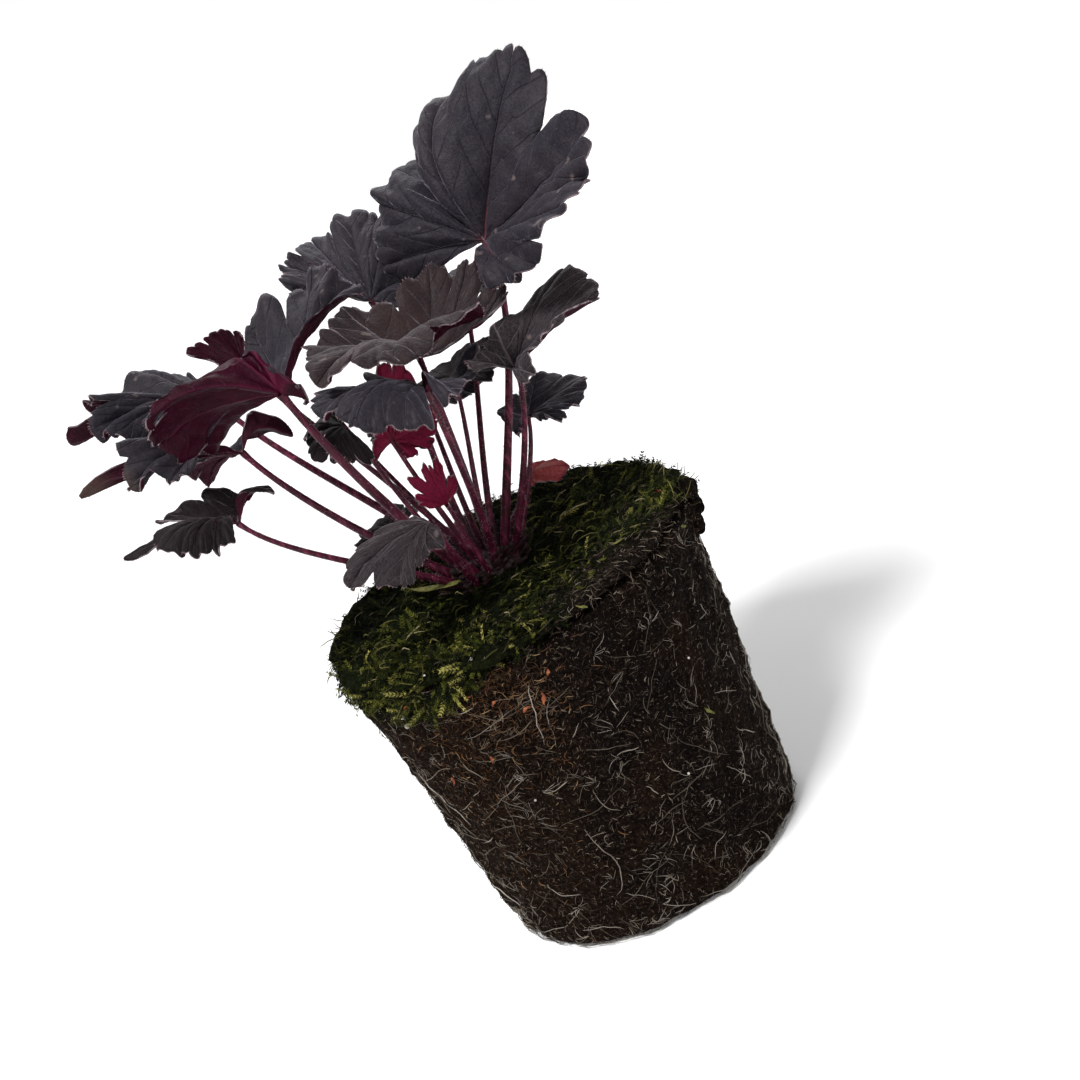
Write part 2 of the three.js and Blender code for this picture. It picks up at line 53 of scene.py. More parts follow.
camera_data = bpy.data.cameras.new("camera")
camera_data.lens = CAMERA_LENS
camera_data.sensor_width = 36
camera_data.clip_start = 0.01
camera_data.clip_end = 50
camera = bpy.data.objects.new("camera", camera_data)
bpy.context.scene.collection.objects.link(camera)
level_right = Vector((1, 0, 0))
level_up = Vector((0, math.sin(CAMERA_ELEVATION), math.cos(CAMERA_ELEVATION)))
camera_back = level_right.cross(level_up)
camera_right = level_right * math.cos(CAMERA_ROLL) - level_up * math.sin(CAMERA_ROLL)
camera_up = level_right * math.sin(CAMERA_ROLL) + level_up * math.cos(CAMERA_ROLL)
camera.matrix_world = Matrix.Translation(CAMERA_AIM + camera_back * CAMERA_DISTANCE) @ Matrix(
    (camera_right, camera_up, camera_back)
).transposed().to_4x4()
bpy.context.scene.camera = camera


# Root ball: moist dark peat that fine roots hold in the round tapered shape of its pot. Its side is crumbly,
# its underside is flat, and the top is under the moss.
BALL_TOP_RADIUS = 59.0
BALL_BASE_RADIUS = 49.5
BALL_HEIGHT = 105.0
BALL_CORNER = 3.5
BALL_RELIEF = 0.8
BALL_LUMPS = 31
BALL_GRAIN = 13
BALL_SIDES = 270
BALL_RINGS = 124
CRUMB_SIZES = [(6.5, 0.75), (3.1, 0.6), (1.6, 0.4)]
CRUMB_SINK = 0.35
BROWN_SLOPE = -30.0
BROWN_START = 0.3
BROWN_MOST = 0.75


def deselect_all():
    """Leaves nothing selected, the solids included."""
    bpy.ops.object.select_all(action="DESELECT")


def finish_piece(piece, name, materials, replaced=()):
    """Names a piece, applies its place, and says what it rides on and stands for."""
    piece.name = name
    piece.data.name = name
    deselect_all()
    piece.select_set(True)
    bpy.context.view_layer.objects.active = piece
    bpy.ops.object.transform_apply(location=True, rotation=True, scale=True)
    for material in materials:
        if material.name not in piece.data.materials:
            piece.data.materials.append(material)
    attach(piece, "root")
    if replaced:
        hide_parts(*replaced)
    return piece


def vertices_of(mesh):
    """A mesh's vertices in millimetres, one row each."""
    places = np.zeros(len(mesh.vertices) * 3)
    mesh.vertices.foreach_get("co", places)
    return places.reshape(-1, 3) / MM


def place_vertices(mesh, places):
    """Moves a mesh's vertices to places in millimetres."""
    mesh.vertices.foreach_set("co", (places * MM).ravel())
    mesh.update()


def lumps(x, y, z, wavelength):
    """Smooth unevenness from -1 to 1, with lumps about one wavelength apart."""
    k = 2 * math.pi / wavelength
    a = np.sin(k * (x + 0.6 * y) + 1.3) * np.sin(k * (0.8 * y - 0.5 * z) + 0.4)
    b = np.sin(k * 1.7 * (z + 0.4 * x) + 2.1) * np.sin(k * 1.6 * (x - 0.7 * y) + 0.9)
    return 0.6 * a + 0.4 * b


def crumble(places, size):
    """Random unevenness from -1 to 1, with crumbs of one size, the same on each run."""
    cell = places / size
    low = np.floor(cell)
    share = cell - low
    share = share * share * (3 - 2 * share)
    total = np.zeros(len(places))
    for corner in np.ndindex(2, 2, 2):
        point = low + corner
        value = np.sin(point @ np.array([12.9898, 78.233, 37.719]) + size) * 43758.5453
        weight = np.prod(np.where(np.array(corner) == 1, share, 1 - share), axis=1)
        total += weight * (value - np.floor(value))
    return 2 * total - 1


def ball_radius(x, y, z):
    """Radius of the ball's side at a height, with its lumps, for points near that side."""
    taper = BALL_BASE_RADIUS + (BALL_TOP_RADIUS - BALL_BASE_RADIUS) * z / BALL_HEIGHT
    return taper + BALL_RELIEF * (lumps(x, y, z, BALL_LUMPS) + 0.7 * lumps(y, z, x, BALL_GRAIN))


def ball_side(bearing, z, stand_off):
    """Points of the ball's side at bearings in radians and heights, some way out of the surface."""
    taper = BALL_BASE_RADIUS + (BALL_TOP_RADIUS - BALL_BASE_RADIUS) * z / BALL_HEIGHT
    x = taper * np.cos(bearing)
    y = taper * np.sin(bearing)
    radius = ball_radius(x, y, z) + stand_off
    return np.stack([radius * np.cos(bearing), radius * np.sin(bearing), z], axis=-1)


def peat_crumbs(places):
    """How far the crumbs of the peat stand out at places."""
    return sum(depth * crumble(places, size) for size, depth in CRUMB_SIZES)


def shape_ball(piece):
    """Turns a sphere's rings into the ball's base, side and top, and crumbles them."""
    raw = vertices_of(piece.data)
    bearing = np.arctan2(raw[:, 1], raw[:, 0])
    share = np.arccos(np.clip(-raw[:, 2] / np.linalg.norm(raw, axis=1), -1, 1)) / math.pi
    base_share = 0.16
    top_share = 0.84
    side = np.clip((share - base_share) / (top_share - base_share), 0, 1)
    z = BALL_HEIGHT * side
    shaped = ball_side(bearing, z, 0)
    corner = np.clip(np.minimum(z, BALL_HEIGHT - z) / BALL_CORNER, 0, 1)
    inset = BALL_CORNER * (1 - np.sqrt(1 - (1 - corner) ** 2))
    flat = np.clip(np.where(share < 0.5, share / base_share, (1 - share) / (1 - top_share)), 0, 1)
    radius = (np.hypot(shaped[:, 0], shaped[:, 1]) - inset) * flat
    shaped[:, 0] = radius * np.cos(bearing)
    shaped[:, 1] = radius * np.sin(bearing)
    crumbs = peat_crumbs(shaped)
    on_side = flat > 0.999
    push = np.where(on_side, crumbs - CRUMB_SINK, 0) / np.maximum(radius, 1)
    shaped[:, 0] *= 1 + push
    shaped[:, 1] *= 1 + push
    under = np.clip(1 - share / base_share, 0, 1)
    shaped[:, 2] += np.where(share < base_share, np.abs(crumbs) * 0.5 * (under < 0.999), 0)
    shaped[:, 2] = np.clip(shaped[:, 2], 0, BALL_HEIGHT)
    place_vertices(piece.data, shaped)


def node_of(tree, kind, **inputs):
    """A shader node with its plain inputs set."""
    node = tree.nodes.new(kind)
    for name, value in inputs.items():
        node.inputs[name.replace("_", " ")].default_value = value
    return node


def ramp_of(tree, source, stops):
    """A colour ramp from a value: stops are places and colours."""
    ramp = tree.nodes.new("ShaderNodeValToRGB")
    elements = ramp.color_ramp.elements
    while len(elements) < len(stops):
        elements.new(0.5)
    for element, (place, colour) in zip(elements, stops):
        element.position = place
        element.color = (*colour, 1)
    tree.links.new(source, ramp.inputs["Fac"])
    return ramp.outputs["Color"]


def blend_of(tree, factor, low, high):
    """Two colours mixed by a factor; each is a socket or a plain colour."""
    mix = tree.nodes.new("ShaderNodeMix")
    mix.data_type = "RGBA"
    for socket, value in ((mix.inputs[0], factor), (mix.inputs[6], low), (mix.inputs[7], high)):
        if isinstance(value, bpy.types.NodeSocket):
            tree.links.new(value, socket)
        elif isinstance(value, tuple):
            socket.default_value = (*value, 1)
        else:
            socket.default_value = value
    return mix.outputs[2]


def sum_of(tree, operation, *values):
    """One arithmetic step on sockets or plain numbers."""
    step = tree.nodes.new("ShaderNodeMath")
    step.operation = operation
    for socket, value in zip(step.inputs, values):
        if isinstance(value, bpy.types.NodeSocket):
            tree.links.new(value, socket)
        else:
            socket.default_value = value
    return step.outputs[0]


def new_material(name, roughness, **plain):
    """A material with its shader's plain values set: gives its tree and shader."""
    material = bpy.data.materials.new(name)
    material.use_nodes = True
    shader = material.node_tree.nodes["Principled BSDF"]
    shader.inputs["Roughness"].default_value = roughness
    for socket, value in plain.items():
        shader.inputs[socket.replace("_", " ")].default_value = value
    return material, material.node_tree, shader


def noise_of(tree, scale, detail=4.0, roughness=0.6):
    """Noise on the piece's own coordinates, in lumps per metre."""
    where = tree.nodes.new("ShaderNodeTexCoord")
    noise = node_of(tree, "ShaderNodeTexNoise", Scale=scale, Detail=detail, Roughness=roughness)
    tree.links.new(where.outputs["Object"], noise.inputs["Vector"])
    return noise.outputs["Fac"]


def bump_of(tree, shader, height, distance, strength=1.0):
    """Fine relief from a height, in metres."""
    bump = node_of(tree, "ShaderNodeBump", Strength=strength, Distance=distance)
    tree.links.new(height, bump.inputs["Height"])
    tree.links.new(bump.outputs["Normal"], shader.inputs["Normal"])


def peat_material():
    """Near-black peat with brown fibrous mottling and small pale specks, browner at the front left."""
    material, tree, shader = new_material("peat", 1.0, Specular_IOR_Level=0.04)
    grain = noise_of(tree, 900, 8, 0.7)
    patches = noise_of(tree, 60, 3, 0.55)
    dark = ramp_of(tree, grain, [(0.4, (0.0015, 0.001, 0.0008)), (0.56, (0.006, 0.004, 0.003)),
                                 (0.72, (0.035, 0.023, 0.016))])
    rusty = ramp_of(tree, grain, [(0.4, (0.003, 0.0015, 0.0008)), (0.58, (0.016, 0.008, 0.004)),
                                  (0.74, (0.07, 0.035, 0.015))])
    spread = ramp_of(tree, patches, [(0.45, (0, 0, 0)), (0.68, (0.8, 0.8, 0.8))])
    specks = ramp_of(tree, noise_of(tree, 1300, 2, 0.5), [(0.66, (0, 0, 0)), (0.7, (0.6, 0.6, 0.6))])
    place = tree.nodes.new("ShaderNodeSeparateXYZ")
    tree.links.new(tree.nodes.new("ShaderNodeTexCoord").outputs["Object"], place.inputs[0])
    leftward = sum_of(tree, "MULTIPLY_ADD", place.outputs["X"], BROWN_SLOPE, 0.0)
    frontward = sum_of(tree, "MULTIPLY_ADD", place.outputs["Y"], BROWN_SLOPE, BROWN_START)
    for share in (leftward, frontward):
        share.node.use_clamp = True
    front_left = sum_of(tree, "MULTIPLY", leftward, frontward)
    brown = sum_of(tree, "MULTIPLY_ADD", front_left, BROWN_MOST, spread)
    earth = blend_of(tree, brown, dark, rusty)
    tree.links.new(blend_of(tree, specks, earth, (0.16, 0.125, 0.1)), shader.inputs["Base Color"])
    bump_of(tree, shader, grain, 1.6 * MM, 1.0)
    return material


deselect_all()
bpy.ops.mesh.primitive_uv_sphere_add(segments=BALL_SIDES, ring_count=BALL_RINGS, radius=0.05)
peat_ball = bpy.context.object
shape_ball(peat_ball)
bpy.ops.object.shade_smooth()
PEAT = peat_material()
finish_piece(peat_ball, "peat_ball", [PEAT], ["root_ball"])


# Roots and fibres on the ball's side: fine pale roots that run in and out of the peat, densest near the
# bottom, little tufts of root hairs, short broken fibres everywhere, and rusty ones in a patch at the front
# and a longer one to its left. Lengths and widths are ranges, and depths how far down the rusty patches go.
FIBRE_SIDES = 3
FIBRE_STAND_OFF = 0.12
USUAL_RADIUS = 55
SHORT_FIBRES = 13500
SHORT_STEPS = 3
SHORT_LENGTHS = (0.5, 2.5)
SHORT_WIDTHS = (0.05, 0.13)
LONG_ROOTS = 330
LONG_STEPS = 12
LONG_LENGTHS = (4, 30)
LONG_WIDTHS = (0.06, 0.17)
ROOT_TUFTS = 260
TUFT_ROOTS = 5
TUFT_STEPS = 6
TUFT_LENGTHS = (1.5, 6.5)
TUFT_WIDTHS = (0.05, 0.1)
RUSTY_FIBRES = 880
RUSTY_STEPS = 4
RUSTY_LENGTHS = (0.8, 4.2)
RUSTY_WIDTHS = (0.07, 0.18)
RUSTY_BEARING = math.radians(-106)
LEFT_RUSTY_BEARING = RUSTY_BEARING - 0.45
RUSTY_DEPTH = 13
LEFT_RUSTY_DEPTH = 43


def new_mesh(name, places, faces, tints):
    """A mesh from places in millimetres, its faces, all with as many corners, and a tint for each place."""
    mesh = bpy.data.meshes.new(name)
    mesh.vertices.add(len(places))
    mesh.vertices.foreach_set("co", (places * MM).astype(np.float32).ravel())
    corners = faces.shape[1]
    mesh.loops.add(faces.size)
    mesh.loops.foreach_set("vertex_index", faces.astype(np.int32).ravel())
    mesh.polygons.add(len(faces))
    mesh.polygons.foreach_set("loop_start", np.arange(0, faces.size, corners, dtype=np.int32))
    mesh.polygons.foreach_set("use_smooth", np.ones(len(faces), dtype=bool))
    tint = mesh.attributes.new("tint", "FLOAT", "POINT")
    tint.data.foreach_set("value", tints.astype(np.float32))
    mesh.update(calc_edges=True)
    mesh.validate()
    piece = bpy.data.objects.new(name, mesh)
    bpy.context.scene.collection.objects.link(piece)
    return piece


def strands(name, lines, ups, radii, tints, sides=FIBRE_SIDES):
    """Tapered strands: lines and ups hold a row of points and of sideways directions for each strand."""
    count, steps, _ = lines.shape
    along = np.gradient(lines, axis=1)
    along /= np.linalg.norm(along, axis=2, keepdims=True) + 1e-12
    ups = ups - along * np.sum(ups * along, axis=2, keepdims=True)
    ups /= np.linalg.norm(ups, axis=2, keepdims=True) + 1e-12
    across = np.cross(along, ups)
    turn = 2 * math.pi * np.arange(sides) / sides
    ring = (
        ups[:, :, None, :] * np.cos(turn)[None, None, :, None]
        + across[:, :, None, :] * np.sin(turn)[None, None, :, None]
    )
    places = lines[:, :, None, :] + ring * radii[:, :, None, None]
    index = np.arange(count * steps * sides).reshape(count, steps, sides)
    here = index[:, :-1, :]
    there = index[:, 1:, :]
    walls = np.stack([here, np.roll(here, -1, axis=2), np.roll(there, -1, axis=2), there], axis=-1)
    return new_mesh(name, places.reshape(-1, 3), walls.reshape(-1, 4)[:, ::-1],
                    np.repeat(tints, steps * sides))


def taper_to_ends(steps, blunt=0.25):
    """Share of full thickness along a strand that thins towards both ends."""
    share = np.linspace(0, 1, steps)
    return blunt + (1 - blunt) * np.sin(math.pi * share) ** 0.6


def lay_on_side(random, count, steps, length, bearing, z, heading, curl, sink):
    """Lines over the ball's side that start somewhere and wander, going in and out of the peat."""
    step = length / (steps - 1)
    turn = heading[:, None] + curl[:, None] * np.linspace(-0.5, 0.5, steps) + np.cumsum(
        random.normal(0, 0.16, (count, steps)), axis=1
    )
    run = np.cumsum(np.cos(turn), axis=1) * step[:, None]
    climb = np.cumsum(np.sin(turn), axis=1) * step[:, None]
    height = np.clip(z[:, None] + climb, 1.2, BALL_HEIGHT - 0.5)
    around = bearing[:, None] + run / USUAL_RADIUS
    flat = ball_side(around.ravel(), height.ravel(), 0)
    crumbs = peat_crumbs(flat) - CRUMB_SINK
    weave = sink[:, None] * np.sin(np.linspace(0, 1, steps)[None, :] * 7 + 9 * bearing[:, None])
    stand_off = np.maximum(crumbs.reshape(count, steps), -CRUMB_SINK) + FIBRE_STAND_OFF + weave
    lines = ball_side(around.ravel(), height.ravel(), stand_off.ravel()).reshape(count, steps, 3)
    ups = np.stack([np.cos(around), np.sin(around), np.full_like(around, 0.1)], axis=-1)
    return lines, ups


def fibre_material(name, stops, roughness=0.75):
    """Dry fibre colours, picked for each strand by its tint."""
    material, tree, shader = new_material(name, roughness, Specular_IOR_Level=0.1)
    tint = tree.nodes.new("ShaderNodeAttribute")
    tint.attribute_name = "tint"
    mottle = noise_of(tree, 700, 3)
    picked = ramp_of(tree, tint.outputs["Fac"], stops)
    dusty = blend_of(tree, sum_of(tree, "MULTIPLY", mottle, 0.8), picked, (0.03, 0.02, 0.014))
    tree.links.new(dusty, shader.inputs["Base Color"])
    bump_of(tree, shader, mottle, 0.3 * MM, 0.5)
    return material


root_colours = fibre_material("root fibre", [(0.0, (0.012, 0.008, 0.006)), (0.5, (0.05, 0.036, 0.026)),
                                             (0.85, (0.22, 0.175, 0.13)), (1.0, (0.48, 0.42, 0.34))])
pale_colours = fibre_material("pale root", [(0.0, (0.035, 0.028, 0.022)), (0.5, (0.15, 0.125, 0.1)),
                                            (0.85, (0.42, 0.37, 0.31)), (1.0, (0.68, 0.62, 0.54))])
rusty_colours = fibre_material("rusty fibre", [(0.0, (0.015, 0.006, 0.003)), (0.55, (0.1, 0.038, 0.013)),
                                               (0.85, (0.26, 0.13, 0.05)), (1.0, (0.5, 0.34, 0.18))])


def root_heights(random, count, lift):
    """Random heights on the ball's side, more of them low down."""
    return (BALL_HEIGHT - 2) * random.uniform(0.015, 1, count) ** lift


random = np.random.default_rng(11)
bearings = random.uniform(-math.pi, math.pi, SHORT_FIBRES)
heights = random.uniform(1, BALL_HEIGHT - 0.5, SHORT_FIBRES)
lines, ups = lay_on_side(random, SHORT_FIBRES, SHORT_STEPS, random.uniform(*SHORT_LENGTHS, SHORT_FIBRES),
                         bearings, heights, random.uniform(-math.pi, math.pi, SHORT_FIBRES),
                         random.normal(0, 0.9, SHORT_FIBRES), random.uniform(0, 0.25, SHORT_FIBRES))
widths = random.uniform(*SHORT_WIDTHS, SHORT_FIBRES)[:, None] * taper_to_ends(SHORT_STEPS, 0.5)
short_fibres = strands("short_fibres", lines, ups, widths, random.uniform(0, 1, SHORT_FIBRES) ** 1.7)
finish_piece(short_fibres, "short_fibres", [root_colours])

random = np.random.default_rng(12)
bearings = random.uniform(-math.pi, math.pi, LONG_ROOTS)
slant = random.choice([0, math.pi], LONG_ROOTS) + random.normal(0, 0.8, LONG_ROOTS)
lines, ups = lay_on_side(random, LONG_ROOTS, LONG_STEPS, random.uniform(*LONG_LENGTHS, LONG_ROOTS),
                         bearings, root_heights(random, LONG_ROOTS, 1.7), slant,
                         random.normal(0, 0.45, LONG_ROOTS), random.uniform(0.15, 0.5, LONG_ROOTS))
widths = random.uniform(*LONG_WIDTHS, LONG_ROOTS)[:, None] * taper_to_ends(LONG_STEPS)
long_roots = strands("long_roots", lines, ups, widths, random.uniform(0.3, 1, LONG_ROOTS) ** 1.3, 4)
finish_piece(long_roots, "long_roots", [pale_colours])

random = np.random.default_rng(14)
tufted = ROOT_TUFTS * TUFT_ROOTS
bearings = np.repeat(random.uniform(-math.pi, math.pi, ROOT_TUFTS), TUFT_ROOTS)
heights = np.repeat(root_heights(random, ROOT_TUFTS, 1.35), TUFT_ROOTS)
slant = np.repeat(random.uniform(-math.pi, math.pi, ROOT_TUFTS), TUFT_ROOTS) + random.normal(0, 0.8, tufted)
lines, ups = lay_on_side(random, tufted, TUFT_STEPS, random.uniform(*TUFT_LENGTHS, tufted), bearings,
                         heights, slant,
                         random.normal(0, 0.8, tufted), random.uniform(0, 0.2, tufted))
widths = random.uniform(*TUFT_WIDTHS, tufted)[:, None] * taper_to_ends(TUFT_STEPS, 0.4)
shades = np.repeat(random.uniform(0.5, 1, ROOT_TUFTS), TUFT_ROOTS)
root_tufts = strands("root_tufts", lines, ups, widths, shades)
finish_piece(root_tufts, "root_tufts", [pale_colours])

random = np.random.default_rng(13)
patch_bearings = random.choice([RUSTY_BEARING, LEFT_RUSTY_BEARING], RUSTY_FIBRES, p=[0.62, 0.38])
bearings = patch_bearings + random.normal(0, 0.2, RUSTY_FIBRES)
depths = np.where(patch_bearings < RUSTY_BEARING, LEFT_RUSTY_DEPTH, RUSTY_DEPTH)
heights = BALL_HEIGHT - 1 - np.abs(random.normal(8, depths, RUSTY_FIBRES))
lines, ups = lay_on_side(random, RUSTY_FIBRES, RUSTY_STEPS, random.uniform(*RUSTY_LENGTHS, RUSTY_FIBRES),
                         bearings, heights, random.uniform(-math.pi, math.pi, RUSTY_FIBRES),
                         random.normal(0, 1.2, RUSTY_FIBRES), random.uniform(0, 0.3, RUSTY_FIBRES))
widths = random.uniform(*RUSTY_WIDTHS, RUSTY_FIBRES)[:, None] * taper_to_ends(RUSTY_STEPS, 0.4)
rusty_fibres = strands("rusty_fibres", lines, ups, widths, random.uniform(0, 1, RUSTY_FIBRES) ** 1.5)
finish_piece(rusty_fibres, "rusty_fibres", [rusty_colours])


# Moss: a mat of creeping moss over the peat, lumpy, with its leafy shoots lying over each other. It hangs
# over the rim, furthest at the front left, and is thin and brown at the front right. A shoot's values are its
# length, its pairs of leaves, and a leaf's length and width.
MOSS_FLOOR = 105.35
MOSS_THICKNESS = 3.4
MOSS_RELIEF = 1.2
MOSS_LUMPS = 24
MOSS_GRAIN = 11
MOSS_EDGE = 60.0
MOSS_BARE_BEARING = math.radians(-55)
MOSS_BARE_DEPTH = 4.0
MOSS_WAVES = [(7, 0.9, 1), (13, 0.7, 0), (23, 0.5, 0)]
HANG_USUAL = 3
HANG_LEFT_BEARING = math.radians(172)
HANG_FRONT_BEARING = math.radians(-136)
HANG_MORE = 4
HANG_BARE_BEARING = math.radians(-62)
HANG_LESS = 12
MOSS_THIN_BEARING = math.radians(-52)
MOSS_THIN_FROM = 40.0
MOSS_THIN_SOFT = 14.0
BED_SIDES = 240
BED_RINGS = 80
BED_TOP_SHARE = 0.7
MOSS_SHOOTS = 7400
DARK_SHOOT = (4.6, 6, 0.85, 0.28)
SHOOT_BEND = 0.035
SHOOT_SUNK = 0.6
BRIGHT_SHOOTS = 2900
BRIGHT_SHOOT = (5.6, 7, 0.9, 0.32)
BRIGHT_BEARING = math.radians(-115)
BRIGHT_RIM_BEARING = math.radians(10)
MOSS_STEMS = 540
STEM_STEPS = 7
STEM_LENGTHS = (2, 9)
STEM_WIDTHS = (0.09, 0.28)
RIM_WISPS = 150
WISP_STEPS = 5
WISP_LENGTHS = (2, 7)
WISP_WIDTHS = (0.08, 0.24)
WISP_BEARINGS = [math.radians(12), math.radians(-5), math.radians(175), 4.0]
THIN_FIBRES = 1500
THIN_STEPS = 4
THIN_LENGTHS = (0.8, 4)
THIN_WIDTHS = (0.05, 0.13)
RIM_RADIUS = 58.5
RIM_OVERRUN = 1.5
RIM_SOFTNESS = 8
SHOOT_FLOOR = MOSS_FLOOR - 1.5
TURN_BEFORE_RIM = 6
TURN_LENGTH = 9
CROWN_AT = (-3.0, 4.0)
CROWN_CLEAR = 11


def moss_reach(bearing):
    """How far the moss mat reaches at a bearing."""
    bare = np.maximum(0, np.cos(bearing - MOSS_BARE_BEARING)) ** 3 * MOSS_BARE_DEPTH
    waves = sum(height * np.sin(count * bearing + phase) for count, height, phase in MOSS_WAVES)
    return MOSS_EDGE - bare + waves


def moss_height(x, y):
    """Height of the mat's top."""
    relief = lumps(x, y, 3, MOSS_LUMPS) + 0.8 * lumps(y, x, 7, MOSS_GRAIN)
    return MOSS_FLOOR + MOSS_THICKNESS + MOSS_RELIEF * relief


def moss_hang(bearing):
    """How far the moss hangs down the side at a bearing, less than nothing where the rim is bare."""
    far_left = np.exp(-(((np.abs(bearing) - HANG_LEFT_BEARING) / 0.3) ** 2))
    front_left = np.exp(-(((bearing - HANG_FRONT_BEARING) / 0.16) ** 2))
    bare = np.exp(-(((bearing - HANG_BARE_BEARING) / 0.5) ** 2))
    ragged = 1.3 * np.sin(5 * bearing + 1) + 1.2 * np.sin(11 * bearing) + 0.8 * np.sin(23 * bearing + 2)
    return HANG_USUAL + HANG_MORE * far_left + HANG_MORE * front_left - HANG_LESS * bare + ragged


def moss_cover(places):
    """How much moss grows at places on the ball: 1 where it is thick, less than nothing where peat shows."""
    out = places[:, 0] * math.cos(MOSS_THIN_BEARING) + places[:, 1] * math.sin(MOSS_THIN_BEARING)
    edge = (MOSS_THIN_FROM - out) / MOSS_THIN_SOFT + 0.5
    return np.minimum(edge, 1) + 0.5 * crumble(places, 9) + 0.3 * crumble(places, 3.7)


def over_the_rim(bearing, run):
    """Places on the mat and down the side: run is the way out from the middle, over the rim and down."""
    on_top = run < RIM_RADIUS
    inner = np.minimum(run, RIM_RADIUS)
    x = inner * np.cos(bearing)
    y = inner * np.sin(bearing)
    edge = np.clip((RIM_RADIUS + RIM_OVERRUN - run) / RIM_SOFTNESS, 0, 1)
    z = SHOOT_FLOOR + (moss_height(x, y) - SHOOT_FLOOR) * np.sqrt(edge)
    top = np.stack([x, y, z], axis=-1)
    down = np.maximum(run - RIM_RADIUS, 0)
    side = ball_side(bearing, np.maximum(BALL_HEIGHT - down, 2), 0.2)
    places = np.where(on_top[:, None], top, side)
    lean = np.clip((run - RIM_RADIUS + TURN_BEFORE_RIM) / TURN_LENGTH, 0, 1) * math.pi / 2
    outward = np.stack([np.cos(bearing), np.sin(bearing), np.zeros_like(bearing)], axis=-1)
    upward = np.array([0, 0, 1.0])
    normal = outward * np.sin(lean)[:, None] + upward * np.cos(lean)[:, None]
    ahead = outward * np.cos(lean)[:, None] - upward * np.sin(lean)[:, None]
    return places, normal, ahead


def join_pieces(pieces):
    """Joins pieces into the first of them, with all their materials."""
    deselect_all()
    for piece in pieces:
        piece.select_set(True)
    bpy.context.view_layer.objects.active = pieces[0]
    bpy.ops.object.join()
    return bpy.context.object


def moss_shoot(length, pairs, leaf_length, leaf_width):
    """One shoot along +X: a thin stem with pairs of small pointed leaves that lie forward along it."""
    deselect_all()
    bpy.ops.mesh.primitive_cone_add(vertices=3, radius1=0.11 * MM, radius2=0.03 * MM, depth=length * MM,
                                    end_fill_type="NOTHING", rotation=(0, math.pi / 2, 0),
                                    location=(length / 2 * MM, 0, 0))
    parts = [bpy.context.object]
    for pair in range(pairs):
        share = (pair + 0.6) / pairs
        size = leaf_length * (1 - 0.35 * share) * MM
        for side in (-1, 1):
            bpy.ops.mesh.primitive_circle_add(vertices=3, radius=1, fill_type="NGON")
            leaf = bpy.context.object
            leaf.scale = (leaf_width * MM, size, 1)
            leaf.rotation_euler = (0.35 * side, 0.5 - 0.9 * (pair % 2), side * 0.75 - math.pi / 2)
            leaf.location = (share * length * MM + size * 0.4, side * size * 0.35, size * 0.15)
            parts.append(leaf)
    shoot = join_pieces(parts)
    bpy.ops.object.transform_apply(location=True, rotation=True, scale=True)
    bpy.ops.object.mode_set(mode="EDIT")
    bpy.ops.mesh.select_all(action="SELECT")
    bpy.ops.mesh.quads_convert_to_tris()
    bpy.ops.object.mode_set(mode="OBJECT")
    return shoot


def copy_about(name, model, places, aheads, normals, lengths, widths, tints):
    """One mesh of many copies of a model, which lies along +X with its top towards +Z; removes the model."""
    points = vertices_of(model.data)
    faces = np.array([list(face.vertices) for face in model.data.polygons])
    aheads = aheads / np.linalg.norm(aheads, axis=1, keepdims=True)
    sides = np.cross(normals, aheads)
    sides /= np.linalg.norm(sides, axis=1, keepdims=True)
    tops = np.cross(aheads, sides)
    bent = points.copy()
    bent[:, 2] -= SHOOT_BEND * bent[:, 0] ** 2
    copies = (
        places[:, None, :]
        + bent[None, :, 0:1] * (aheads * lengths[:, None])[:, None, :]
        + bent[None, :, 1:2] * (sides * widths[:, None])[:, None, :]
        + bent[None, :, 2:3] * (tops * lengths[:, None])[:, None, :]
    )
    offsets = np.arange(len(places))[:, None, None] * len(points)
    bpy.data.objects.remove(model)
    return new_mesh(name, copies.reshape(-1, 3), (faces[None] + offsets).reshape(-1, 3),
                    np.repeat(tints, len(points)))


def moss_material(name, stops):
    """Moss greens, picked for each shoot by its tint, and darker in patches."""
    material, tree, shader = new_material(name, 0.85, Specular_IOR_Level=0.08)
    tint = tree.nodes.new("ShaderNodeAttribute")
    tint.attribute_name = "tint"
    patches = noise_of(tree, 75, 3)
    picked = ramp_of(tree, tint.outputs["Fac"], stops)
    shade = ramp_of(tree, patches, [(0.36, (0.35, 0.35, 0.35)), (0.62, (1, 1, 1))])
    mixed = tree.nodes.new("ShaderNodeMix")
    mixed.data_type = "RGBA"
    mixed.blend_type = "MULTIPLY"
    mixed.inputs[0].default_value = 1
    tree.links.new(picked, mixed.inputs[6])
    tree.links.new(shade, mixed.inputs[7])
    tree.links.new(mixed.outputs[2], shader.inputs["Base Color"])
    return material


def moss_bed_material():
    """The dark inside of the mat, brown where the peat shows through."""
    material, tree, shader = new_material("moss bed", 1.0, Specular_IOR_Level=0.04)
    grain = noise_of(tree, 850, 6, 0.7)
    green = ramp_of(tree, grain, [(0.4, (0.002, 0.003, 0.001)), (0.58, (0.009, 0.012, 0.003)),
                                  (0.74, (0.025, 0.032, 0.009))])
    brown = ramp_of(tree, grain, [(0.4, (0.002, 0.0013, 0.001)), (0.58, (0.009, 0.006, 0.0045)),
                                  (0.74, (0.05, 0.034, 0.023))])
    thin = tree.nodes.new("ShaderNodeAttribute")
    thin.attribute_name = "tint"
    tree.links.new(blend_of(tree, thin.outputs["Fac"], green, brown), shader.inputs["Base Color"])
    bump_of(tree, shader, grain, 1.5 * MM, 1.0)
    return material


